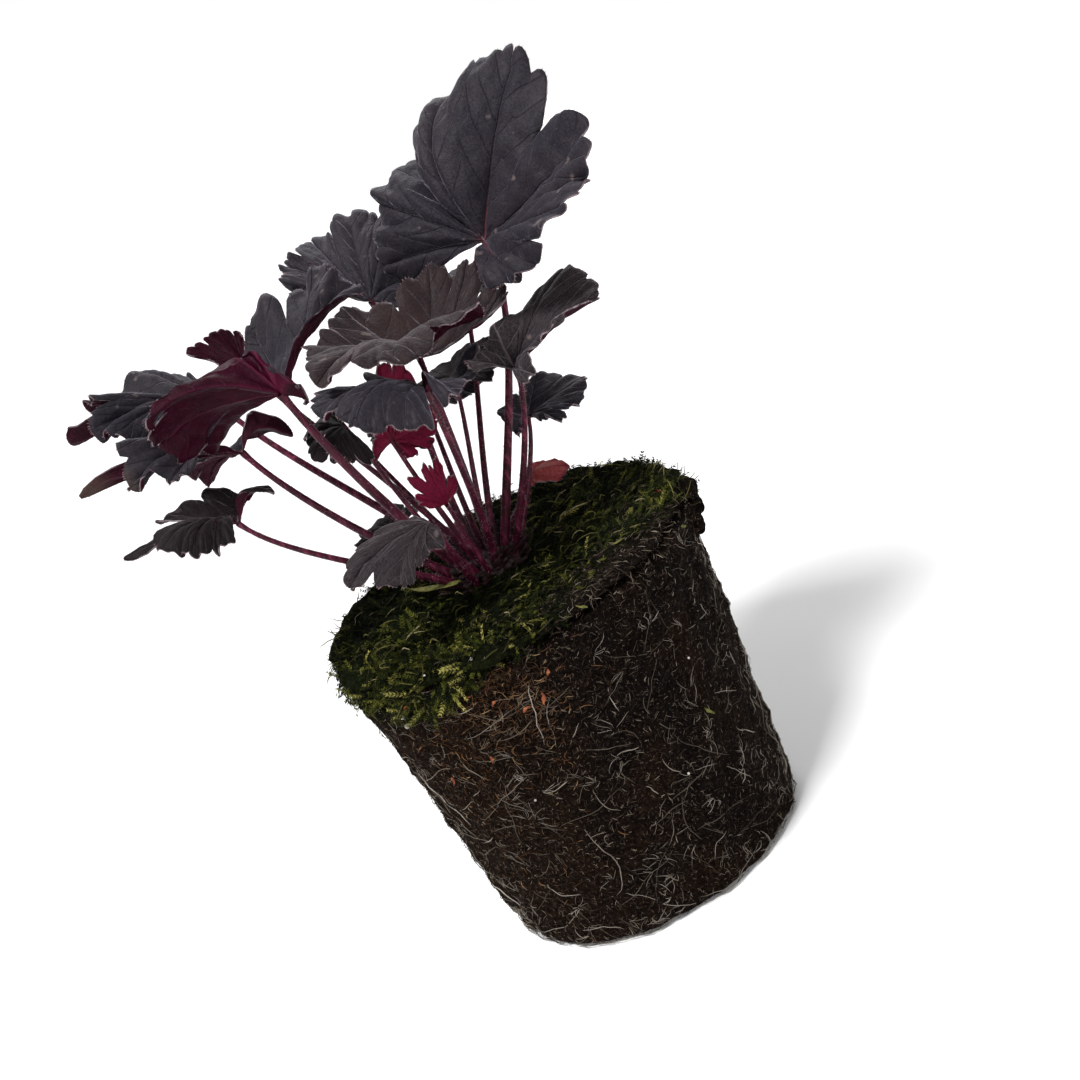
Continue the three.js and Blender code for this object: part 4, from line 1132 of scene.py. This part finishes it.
def blade_places(leaf, place, share):
    """Points of the blade's middle surface, at places counted in lobes and shares of the way out."""
    vein = vein_at(leaf, place)
    size = blade_size(leaf)
    cut = np.clip(vein[..., 4], LEAST_CUT, 1)
    smooth_reach = share * lobe_reach(leaf, place, cut)
    reach = smooth_reach * tooth_reach(leaf, place, cut) ** np.clip(share * 2.2 - 1.2, 0, 1)
    wave = RUFFLE * size * share**2 * np.sin(RUFFLE_TURN * place + size)
    turn = 2 * np.pi * place
    frill = FRILL * size * share**4 * (np.sin(1.7 * turn + 3 * size) + 0.7 * np.sin(3.1 * turn + 5 * size))
    lift = vein[..., 3] * 4 * smooth_reach * (1 - smooth_reach) + wave + frill
    plain = np.array(leaf["at"], float) + vein[..., :3] * reach[..., None]
    return plain + lift[..., None] * unit(leaf["face"])


def blade_piece(leaf):
    """The blade as a grid of places and shares, puckered along its normals, then given its thickness."""
    size = blade_size(leaf)
    lobes = len(leaf["veins"])
    columns = lobes * leaf.get("teeth", TEETH) * leaf.get("fine", 6)
    rows = int(np.clip(size * 0.5, 10, 30))
    deselect_all()
    bpy.ops.mesh.primitive_grid_add(x_subdivisions=columns, y_subdivisions=rows, size=2)
    blade = bpy.context.object
    grid = vertices_of(blade.data) * MM
    column = np.round((grid[:, 0] + 1) / 2 * columns).astype(int)
    row = np.round((grid[:, 1] + 1) / 2 * rows).astype(int)
    lobe_places = np.linspace(-0.5, lobes - 0.5, columns + 1)
    shares = np.linspace(0, 1, rows + 1) ** 0.9
    place, share = np.meshgrid(lobe_places, shares)
    places = blade_places(leaf, place, share)
    normals = np.cross(np.gradient(places, axis=1), np.gradient(places, axis=0))
    normals /= np.linalg.norm(normals, axis=2, keepdims=True) + 1e-12
    normals[0] = unit(leaf["face"])
    places += normals * blade_relief(leaf, place, share, places)[..., None]
    place_vertices(blade.data, places[row, column])
    set_vein_map(leaf, blade.data, lobe_places[column], shares[row])
    bpy.ops.object.mode_set(mode="EDIT")
    bpy.ops.mesh.select_all(action="SELECT")
    bpy.ops.mesh.remove_doubles(threshold=1e-7)
    bpy.ops.object.mode_set(mode="OBJECT")
    bpy.ops.object.shade_smooth()
    thick = blade.modifiers.new("thickness", "SOLIDIFY")
    thick.thickness = BLADE_THICKNESS * MM
    thick.offset = 0
    thick.material_offset = 1
    thick.material_offset_rim = 2
    for material in blade_finishes(leaf):
        blade.data.materials.append(material)
    bpy.ops.object.modifier_apply(modifier="thickness")
    return blade, places, normals


def set_vein_map(leaf, mesh, place, share):
    """A map of each face's place from its lobe's main vein, so that veins can be drawn in the material."""
    corners = np.zeros(len(mesh.loops), dtype=np.int32)
    mesh.loops.foreach_get("vertex_index", corners)
    starts = np.zeros(len(mesh.polygons), dtype=np.int32)
    totals = np.zeros(len(mesh.polygons), dtype=np.int32)
    mesh.polygons.foreach_get("loop_start", starts)
    mesh.polygons.foreach_get("loop_total", totals)
    middle = np.add.reduceat(place[corners], starts) / totals
    lobe = np.repeat(nearest_lobe(leaf, middle), totals)
    across, along = vein_place(leaf, place[corners], share[corners], lobe)
    along = along + side_vein_start(leaf, lobe)
    mesh.uv_layers.active.data.foreach_set("uv", np.stack([across, along], axis=-1).ravel())


def vein_group():
    """Main, side and net veins from the vein map, the same as a height, and the leaf's foot and tips."""
    group = bpy.data.node_groups.new("leaf veins", "ShaderNodeTree")
    for name in ("Main", "Side", "Net", "Height", "Foot", "Tip"):
        group.interface.new_socket(name, in_out="OUTPUT", socket_type="NodeSocketFloat")
    vein_map = group.nodes.new("ShaderNodeUVMap")
    split = group.nodes.new("ShaderNodeSeparateXYZ")
    group.links.new(vein_map.outputs["UV"], split.inputs[0])
    across = sum_of(group, "ABSOLUTE", split.outputs["X"])
    along = split.outputs["Y"]
    main = sum_of(group, "SUBTRACT", 1, sum_of(group, "DIVIDE", across, MAIN_VEIN_WIDTH))
    right_half = sum_of(group, "GREATER_THAN", split.outputs["X"], 0)
    along = sum_of(group, "MULTIPLY_ADD", right_half, VEIN_STAGGER * VEIN_SPACING, along)
    slanted = sum_of(group, "SUBTRACT", along, sum_of(group, "MULTIPLY", across, 1 / math.tan(VEIN_SLANT)))
    phase = sum_of(group, "FRACT", sum_of(group, "ADD", sum_of(group, "DIVIDE", slanted, VEIN_SPACING), 9))
    from_line = sum_of(group, "MINIMUM", phase, sum_of(group, "SUBTRACT", 1, phase))
    side = sum_of(group, "SUBTRACT", 1, sum_of(group, "DIVIDE", from_line, SIDE_VEIN_WIDTH))
    cells = node_of(group, "ShaderNodeTexVoronoi", Scale=NET_CELLS)
    cells.feature = "DISTANCE_TO_EDGE"
    group.links.new(vein_map.outputs["UV"], cells.inputs["Vector"])
    net = sum_of(group, "SUBTRACT", 1, sum_of(group, "DIVIDE", cells.outputs["Distance"], NET_WIDTH))
    lines = [sum_of(group, "MAXIMUM", line, 0) for line in (main, side, net)]
    raised = sum_of(group, "ADD", lines[0], sum_of(group, "MULTIPLY", lines[1], SIDE_VEIN_HEIGHT))
    raised = sum_of(group, "ADD", raised, sum_of(group, "MULTIPLY", lines[2], NET_HEIGHT))
    near_stalk = sum_of(group, "MULTIPLY_ADD", split.outputs["Y"], -6.0, 1.0)
    foot = sum_of(group, "MULTIPLY", sum_of(group, "MAXIMUM", near_stalk, 0.0), lines[0])
    tip = sum_of(group, "MULTIPLY_ADD", split.outputs["Y"], 6.0, -4.4)
    out = group.nodes.new("NodeGroupOutput")
    for socket, value in zip(out.inputs, (*lines, raised, foot, tip)):
        group.links.new(value, socket)
    return group


LEAF_VEINS = vein_group()


def blade_material(name, colour, patch, vein, vein_share, scars, sunken, tip=None, **plain):
    """Velvety leaf skin, mottled, scarred and wrinkled. Its veins are sunk above and raised below."""
    material, tree, shader = new_material(name, 0.5, **plain)
    veins = tree.nodes.new("ShaderNodeGroup")
    veins.node_tree = LEAF_VEINS
    mottle = ramp_of(tree, noise_of(tree, 45, 5, 0.65), [(0.4, (0, 0, 0)), (0.66, (1, 1, 1))])
    plain_skin = blend_of(tree, mottle, colour, patch)
    velvet = ramp_of(tree, noise_of(tree, 1400, 3, 0.6), [(0.38, (0, 0, 0)), (0.68, (1, 1, 1))])
    lighter = tuple(min(1.0, 1.8 * channel) for channel in patch)
    skin = blend_of(tree, sum_of(tree, "MULTIPLY", velvet, 0.55), plain_skin, lighter)
    side_lines = sum_of(tree, "MULTIPLY", veins.outputs["Side"], 0.5)
    net_lines = sum_of(tree, "MULTIPLY", veins.outputs["Net"], 0.22)
    lines = sum_of(tree, "MAXIMUM", veins.outputs["Main"], sum_of(tree, "MAXIMUM", side_lines, net_lines))
    veined = blend_of(tree, sum_of(tree, "MULTIPLY", lines, vein_share), skin, vein)
    foot_colour = (0.1, 0.018, 0.026) if sunken else (0.07, 0.004, 0.02)
    drawn = blend_of(tree, veins.outputs["Foot"], veined, foot_colour)
    spots = ramp_of(tree, noise_of(tree, 190, 2, 0.4), [(0.7, (0, 0, 0)), (0.77, (1, 1, 1))])
    scarred = blend_of(tree, sum_of(tree, "MULTIPLY", spots, scars), drawn, (0.17, 0.13, 0.12))
    if tip:
        scarred = blend_of(tree, veins.outputs["Tip"], scarred, tip)
    tree.links.new(scarred, shader.inputs["Base Color"])
    tree.links.new(sum_of(tree, "MULTIPLY_ADD", mottle, -0.12, 0.6), shader.inputs["Roughness"])
    wrinkles = sum_of(tree, "MULTIPLY", noise_of(tree, 260, 3, 0.5), 1.5)
    grain = sum_of(tree, "MULTIPLY_ADD", noise_of(tree, 1500, 3, 0.5), 0.5, wrinkles)
    height = sum_of(tree, "MULTIPLY_ADD", veins.outputs["Height"], -1.0 if sunken else 1.0, grain)
    bump_of(tree, shader, height, 0.4 * MM, 0.85)
    return material


# Colours of the skin, of its patches and of its veins
SLATE_TONES = ((0.009, 0.0082, 0.0128), (0.0185, 0.0142, 0.0185), (0.005, 0.002, 0.0032))
WINE_TONES = ((0.0085, 0.0003, 0.0026), (0.024, 0.0009, 0.0068), (0.075, 0.007, 0.026))
SLATE_SHEEN = dict(Specular_IOR_Level=0.14, Sheen_Weight=0.24, Sheen_Roughness=0.35,
                   Sheen_Tint=(0.78, 0.72, 0.88, 1))

SLATE = blade_material("slate leaf top", *SLATE_TONES, 0.45, 0.6, True, **SLATE_SHEEN)
# Leaves in shade inside the clump: their near-black top is painted shade, darker than the slate of the other
# leaves.
SHADE_PAINTED_TOP = blade_material("leaf top with painted shade", (0.0036, 0.0026, 0.0034), (0.0085, 0.0052, 0.0058),
                      (0.003, 0.001, 0.0014), 0.45, 0.3, True, Specular_IOR_Level=0.12, Sheen_Weight=0.1,
                      Sheen_Roughness=0.35, Sheen_Tint=(0.85, 0.68, 0.76, 1))
TAILED = blade_material("slate leaf top with a dry tail", *SLATE_TONES, 0.45, 0.6, True,
                        tip=(0.06, 0.042, 0.034), **SLATE_SHEEN)
TAILED_WINE = blade_material("wine leaf underside with a dry tail", *WINE_TONES, 0.5, 0.1, False,
                             tip=(0.05, 0.028, 0.024), Specular_IOR_Level=0.1)
PALE_VEINED = blade_material("pale-veined leaf top", (0.0085, 0.007, 0.009), (0.019, 0.013, 0.0145),
                             (0.15, 0.12, 0.13), 0.75, 0.5, True, Specular_IOR_Level=0.12, Sheen_Weight=0.25,
                             Sheen_Roughness=0.4, Sheen_Tint=(0.85, 0.75, 0.82, 1))
BROWNISH = blade_material("brownish leaf top", (0.0085, 0.007, 0.0098), (0.022, 0.012, 0.012),
                          (0.007, 0.0025, 0.0035), 0.6, 0.5, True, Specular_IOR_Level=0.12, Sheen_Weight=0.25,
                          Sheen_Roughness=0.4, Sheen_Tint=(0.85, 0.76, 0.82, 1))
WINE = blade_material("wine leaf underside", *WINE_TONES, 0.5, 0.1, False, Specular_IOR_Level=0.1)
CRIMSON = blade_material("crimson young leaf", (0.085, 0.0025, 0.014), (0.14, 0.0055, 0.028),
                         (0.22, 0.03, 0.06), 0.4, 0.1, True, Specular_IOR_Level=0.1)
SALMON = blade_material("faded leaf", (0.25, 0.034, 0.042), (0.26, 0.055, 0.046), (0.12, 0.008, 0.012),
                        0.5, 0.3, True, tip=(0.16, 0.004, 0.016), Specular_IOR_Level=0.15)


def rim_material():
    """The leaf's thin edge, dark in places and pale in others."""
    material, tree, shader = new_material("leaf rim", 0.6, Specular_IOR_Level=0.4)
    worn = ramp_of(tree, noise_of(tree, 500, 3), [(0.35, (0.02, 0.01, 0.013)), (0.65, (0.2, 0.16, 0.17))])
    tree.links.new(worn, shader.inputs["Base Color"])
    return material


RIM = rim_material()


def hair_material():
    """Short hairs, whitish pink."""
    material, tree, shader = new_material("pale hair", 0.5, Specular_IOR_Level=0.5)
    tone = ramp_of(tree, noise_of(tree, 300, 2), [(0.35, (0.16, 0.045, 0.07)), (0.65, (0.5, 0.34, 0.38))])
    tree.links.new(tone, shader.inputs["Base Color"])
    return material


HAIR = hair_material()


def stalk_material():
    """Ribbed maroon stalk with pinkish streaky marks along it, partly its own paler striping and partly
    painted highlight along its ribs.
    """
    material, tree, shader = new_material("maroon stalk", 0.5, Specular_IOR_Level=0.22)
    where = tree.nodes.new("ShaderNodeTexCoord")
    stretch = node_of(tree, "ShaderNodeMapping", Scale=(1, 1, 0.08))
    streaks_and_highlights = node_of(tree, "ShaderNodeTexNoise", Scale=900.0, Detail=3.0)
    tree.links.new(where.outputs["Object"], stretch.inputs["Vector"])
    tree.links.new(stretch.outputs["Vector"], streaks_and_highlights.inputs["Vector"])
    # The pale pink end of this ramp is partly painted highlight, not only the stalk's own colour.
    tone = ramp_of(tree, streaks_and_highlights.outputs["Fac"], [
        (0.35, (0.022, 0.001, 0.0055)), (0.55, (0.062, 0.003, 0.016)), (0.72, (0.17, 0.025, 0.06)),
    ])
    tree.links.new(tone, shader.inputs["Base Color"])
    bump_of(tree, shader, streaks_and_highlights.outputs["Fac"], 0.3 * MM, 0.6)
    return material


STALK = stalk_material()


def blade_finishes(leaf):
    """Materials of a blade's upper side, underside and rim."""
    finishes = {
        "young": (CRIMSON, CRIMSON),
        "faded": (SALMON, SALMON),
        "red": (WINE, WINE),
        # Leaves inside the clump get a near-black top, which is painted shade.
        "shaded": (SHADE_PAINTED_TOP, WINE),
        "tailed": (TAILED, TAILED_WINE),
        "pale": (PALE_VEINED, WINE),
        "brownish": (BROWNISH, WINE),
        "bright": (SLATE, CRIMSON),
    }
    upper, lower = finishes.get(leaf.get("finish"), (SLATE, WINE))
    return upper, lower, RIM


def stalk_line(leaf, steps):
    """Points along a stalk, from inside the crown to the blade."""
    face = unit(leaf["face"])
    bearing = math.radians(leaf["root"][0])
    distance = leaf["root"][1]
    out = np.array([math.cos(bearing), math.sin(bearing), 0])
    height = CROWN_TOP - (distance / CROWN_RADIUS) ** 2 * CROWN_DOME
    start = np.array([*CROWN_AT, height]) + out * distance
    leaving = unit(out * distance / CROWN_RADIUS + np.array([0, 0, 1]))
    end = np.array(leaf["at"], float)
    length = np.linalg.norm(end - start)
    arriving = unit(unit(end - start) + face * STALK_SWEEP)
    low = start + leaving * length * 0.3
    high = end - arriving * length * 0.25
    corners = [start - leaving * STALK_SUNK, low, high, end]
    t = np.linspace(0, 1, steps)[:, None]
    weights = [(1 - t) ** 3, 3 * t * (1 - t) ** 2, 3 * t**2 * (1 - t), t**3]
    return sum(weight * corner for weight, corner in zip(weights, corners))


def stalk_scale(leaf):
    """How thick a stalk is beside the usual: stalks of big leaves are thicker."""
    return leaf.get("stout", float(np.clip(0.55 + blade_size(leaf) / 90, 0.7, 1.1)))


def hairs(random, name, feet, ways, length_low, length_high):
    """Short tapering hairs from their feet, each its own way."""
    count = len(feet)
    ways = ways + random.normal(0, 0.3, (count, 3))
    ways /= np.linalg.norm(ways, axis=1, keepdims=True)
    length = random.uniform(length_low, length_high, count)[:, None]
    lines = np.stack([feet, feet + ways * length], axis=1)
    ups = np.repeat(np.cross(ways, random.normal(0, 1, (count, 3)))[:, None, :], 2, axis=1)
    radii = np.repeat(np.array([HAIR_RADII]), count, axis=0)
    return strands(name, lines, ups, radii, random.uniform(0, 1, count))


def stalk_piece(leaf, number):
    """A ribbed tapered stalk with its hairs."""
    line = stalk_line(leaf, STALK_STEPS)
    t = np.linspace(0, 1, STALK_STEPS)
    radius = (STALK_BASE_RADIUS + (STALK_TIP_RADIUS - STALK_BASE_RADIUS) * t**STALK_TAPER) * stalk_scale(leaf)
    radius = radius * (1 + STALK_FLARE * np.clip((t - STALK_FLARE_FROM) / STALK_FLARE_LENGTH, 0, 1))
    side = np.repeat(np.array([[0.3, -0.9, 0.2]]), STALK_STEPS, axis=0)
    stalk = strands("stalk", line[None], side[None], radius[None], np.zeros(1), STALK_SIDES)
    stalk.data.materials.append(STALK)
    random = np.random.default_rng(300 + number)
    length = np.sum(np.linalg.norm(np.diff(line, axis=0), axis=1))
    count = int(length * HAIRS_PER_MM)
    at = random.uniform(0.06, 0.985, count)
    along = np.gradient(line, axis=0)
    along /= np.linalg.norm(along, axis=1, keepdims=True)
    place = np.stack([np.interp(at, t, line[:, k]) for k in range(3)], axis=-1)
    way = np.stack([np.interp(at, t, along[:, k]) for k in range(3)], axis=-1)
    out = np.cross(way, random.normal(0, 1, (count, 3)))
    out /= np.linalg.norm(out, axis=1, keepdims=True)
    feet = place + out * (np.interp(at, t, radius) * 0.9)[:, None]
    fuzz = hairs(random, "fuzz", feet, out + way * 0.25, *HAIR_LENGTHS)
    fuzz.data.materials.append(HAIR)
    return join_pieces([stalk, fuzz])


for number, leaf in enumerate(LEAVES):
    blade, places, normals = blade_piece(leaf)
    random = np.random.default_rng(100 + number)
    margin = places[-1]
    inward = places[-3]
    length = np.sum(np.linalg.norm(np.diff(margin, axis=0), axis=1))
    pick = random.integers(0, len(margin), int(length * FRINGE_PER_MM))
    way = margin[pick] - inward[pick]
    way /= np.linalg.norm(way, axis=1, keepdims=True) + 1e-9
    fringe = hairs(random, "fringe", margin[pick], way, *FRINGE_LENGTHS)
    fringe.data.materials.append(HAIR)
    blade = join_pieces([blade, fringe])
    name = leaf["name"]
    finish_piece(blade, f"blade_{name}", [], [f"leaf_{name}_blade"])
    stalk = stalk_piece(leaf, number)
    finish_piece(stalk, f"stalk_{name}", [], [f"leaf_{name}_stalk"])


# Crown: a rough knob of old stalk bases, with their cut stubs, and the papery bud scales and sheaths that
# wrap the feet of the living stalks.
KNOB_LUMPS = 5.0
KNOB_SUNK = 4.0
KNOB_RISE = 3.5
KNOB_ROOT = 8.0
STUBS = 34
STUB_SIDES = 9
STUB_SHARES = np.array([-0.3, 0.1, 0.45, 0.8, 0.97, 1.0])
STUB_RADII = np.array([1.5, 1.45, 1.25, 1.1, 0.8, 0.02])
LOOSE_SHEATHS = 18
SHEATH_THICKNESS = 0.25
SHEATH_BOW = 0.45
SHEATH_CURL = 1.0
SHEATH_ROWS = 7
SHEATH_COLUMNS = 4
CROWN_FUZZ = 420


def crown_material():
    """Dark reddish brown, papery and torn, browner where it has dried."""
    material, tree, shader = new_material("crown", 0.7, Specular_IOR_Level=0.3)
    tint = tree.nodes.new("ShaderNodeAttribute")
    tint.attribute_name = "tint"
    fibres = noise_of(tree, 420, 6, 0.65)
    fresh = ramp_of(tree, fibres, [(0.35, (0.006, 0.0004, 0.0012)), (0.6, (0.026, 0.001, 0.005)),
                                   (0.75, (0.075, 0.007, 0.02))])
    dried = ramp_of(tree, fibres, [(0.35, (0.004, 0.002, 0.0015)), (0.6, (0.02, 0.009, 0.006)),
                                   (0.75, (0.09, 0.05, 0.032))])
    tree.links.new(blend_of(tree, tint.outputs["Fac"], fresh, dried), shader.inputs["Base Color"])
    bump_of(tree, shader, fibres, 0.6 * MM, 0.9)
    return material


def crown_surface(bearing, distance):
    """Points on top of the crown at bearings and distances from its middle, and the ways out of it."""
    out = np.stack([np.cos(bearing), np.sin(bearing), np.zeros_like(bearing)], axis=-1)
    height = CROWN_TOP - (distance / CROWN_RADIUS) ** 2 * CROWN_DOME
    places = np.array([*CROWN_AT, 0]) + out * distance[:, None]
    places[:, 2] = height
    ways = out * (distance / CROWN_RADIUS)[:, None] + np.array([0, 0, 1.0])
    return places, ways / np.linalg.norm(ways, axis=1, keepdims=True), out


deselect_all()
bpy.ops.mesh.primitive_uv_sphere_add(segments=72, ring_count=36, radius=START_RADIUS * MM)
knob = bpy.context.object
raw = vertices_of(knob.data) / START_RADIUS
x = CROWN_AT[0] + raw[:, 0] * CROWN_RADIUS
y = CROWN_AT[1] + raw[:, 1] * CROWN_RADIUS
z = CROWN_TOP - KNOB_SUNK + raw[:, 2] * np.where(raw[:, 2] > 0, KNOB_RISE, KNOB_ROOT)
shaped = np.stack([x, y, z], axis=-1)
shaped += raw * (0.9 * crumble(shaped, KNOB_LUMPS) + 0.5 * crumble(shaped, 1.7))[:, None]
place_vertices(knob.data, shaped)
bpy.ops.object.shade_smooth()
knob.data.attributes.new("tint", "FLOAT", "POINT").data.foreach_set("value", np.full(len(shaped), 0.6))

random = np.random.default_rng(31)
places, ways, out = crown_surface(random.uniform(-math.pi, math.pi, STUBS), random.uniform(5, 12.5, STUBS))
ways = ways + out * 0.7 + random.normal(0, 0.2, (STUBS, 3))
ways /= np.linalg.norm(ways, axis=1, keepdims=True)
length = random.uniform(3, 7, STUBS)
lines = places[:, None, :] + ways[:, None, :] * STUB_SHARES[None, :, None] * length[:, None, None]
ups = np.repeat(out[:, None, :], len(STUB_SHARES), axis=1) + 0.1
radii = STUB_RADII[None, :] * random.uniform(0.6, 1, STUBS)[:, None]
stubs = strands("stubs", lines, ups, radii, random.uniform(0.3, 1, STUBS), STUB_SIDES)

random = np.random.default_rng(32)
around = [leaf["root"][0] for leaf in LEAVES] * 2 + list(random.uniform(-180, 180, LOOSE_SHEATHS))
distance = [leaf["root"][1] for leaf in LEAVES] * 2 + list(random.uniform(6, 12, LOOSE_SHEATHS))
sheath_count = len(around)
bearing = np.radians(around) + random.normal(0, 0.12, sheath_count)
places, ways, out = crown_surface(bearing, np.array(distance) + 1.5)
ways = ways + out * random.uniform(0, 0.7, sheath_count)[:, None] + random.normal(0, 0.12, (sheath_count, 3))
ways /= np.linalg.norm(ways, axis=1, keepdims=True)
across = np.cross(ways, out)
across /= np.linalg.norm(across, axis=1, keepdims=True)
hollow = np.cross(across, ways)
length = random.uniform(5, 10.5, sheath_count)
width = random.uniform(1.2, 2.3, sheath_count)
rows = np.linspace(0, 1, SHEATH_ROWS)
columns = np.linspace(-1, 1, SHEATH_COLUMNS)
profile = np.sqrt(np.clip(1 - rows**2.2, 0.0, 1)) * 0.97 + 0.03
spread = columns[None, None, :] * (width[:, None] * profile[None, :])[:, :, None]
bow = (1 - columns[None, None, :] ** 2) * SHEATH_BOW * width[:, None, None]
curl = bow + SHEATH_CURL * rows[None, :, None] ** 2
torn = np.where(rows[None, :, None] > 0.9, random.uniform(-1.4, 0.4, (sheath_count, 1, SHEATH_COLUMNS)), 0)
rise = length[:, None, None] * rows[None, :, None] - 1.5 + torn
sheath_points = (
    places[:, None, None, :]
    + ways[:, None, None, :] * rise[..., None]
    + across[:, None, None, :] * spread[..., None]
    + hollow[:, None, None, :] * curl[..., None]
)
index = np.arange(sheath_points[..., 0].size).reshape(sheath_count, SHEATH_ROWS, SHEATH_COLUMNS)
quads = np.stack([index[:, :-1, :-1], index[:, :-1, 1:], index[:, 1:, 1:], index[:, 1:, :-1]], axis=-1)
sheaths = new_mesh("sheaths", sheath_points.reshape(-1, 3), quads.reshape(-1, 4),
                   np.repeat(random.uniform(0, 0.8, sheath_count), SHEATH_ROWS * SHEATH_COLUMNS))
deselect_all()
bpy.context.view_layer.objects.active = sheaths
sheaths.select_set(True)
thick = sheaths.modifiers.new("thickness", "SOLIDIFY")
thick.thickness = SHEATH_THICKNESS * MM
thick.offset = 0
bpy.ops.object.modifier_apply(modifier="thickness")

random = np.random.default_rng(33)
places, ways, out = crown_surface(random.uniform(-math.pi, math.pi, CROWN_FUZZ),
                                  12.5 * np.sqrt(random.uniform(0, 1, CROWN_FUZZ)))
crown_fuzz = hairs(random, "crown_fuzz", places - ways * 0.3, ways + out * 0.4, 1.0, 2.4)
crown = join_pieces([knob, stubs, sheaths])
crown.data.materials.append(crown_material())
crown_fuzz.data.materials.append(HAIR)
crown = join_pieces([crown, crown_fuzz])
finish_piece(crown, "crown_scales", [], ["crown"])


# Stage: a plain pale floor under the ball in a white studio, lit softly by large panels above, in front and
# behind.
STAGE_SIZE = 2.6
STUDIO_LIGHT = 0.32
LAMP_AIM = Vector((0, 0, 0.11))

deselect_all()
bpy.ops.mesh.primitive_plane_add(size=STAGE_SIZE)
floor = bpy.context.object
floor.name = "stage_floor"
floor_material, _, floor_shader = new_material("pale floor", 0.9, Specular_IOR_Level=0.1)
floor_shader.inputs["Base Color"].default_value = (0.95, 0.95, 0.95, 1)
floor.data.materials.append(floor_material)

world = bpy.data.worlds.new("studio")
world.use_nodes = True
background = world.node_tree.nodes["Background"]
background.inputs["Color"].default_value = (1.0, 1.0, 1.0, 1)
seen = world.node_tree.nodes.new("ShaderNodeLightPath").outputs["Is Camera Ray"]
strength = sum_of(world.node_tree, "MULTIPLY_ADD", seen, 1 - STUDIO_LIGHT, STUDIO_LIGHT)
world.node_tree.links.new(strength, background.inputs["Strength"])
bpy.context.scene.world = world
bpy.context.scene.view_settings.view_transform = "Standard"

LAMPS = [
    ("key", (-0.9, -1.2, 3.5), 1.0, 165),
    ("fill", (1.0, -3.0, 1.2), 1.6, 36),
    ("back", (0.5, 2.6, 2.2), 1.6, 40),
]
for name, place, size, power in LAMPS:
    lamp_data = bpy.data.lights.new(name, "AREA")
    lamp_data.size = size
    lamp_data.energy = power
    lamp = bpy.data.objects.new(name, lamp_data)
    lamp.location = place
    lamp.rotation_mode = "QUATERNION"
    lamp.rotation_quaternion = (LAMP_AIM - Vector(place)).to_track_quat("-Z", "Y")
    bpy.context.scene.collection.objects.link(lamp)
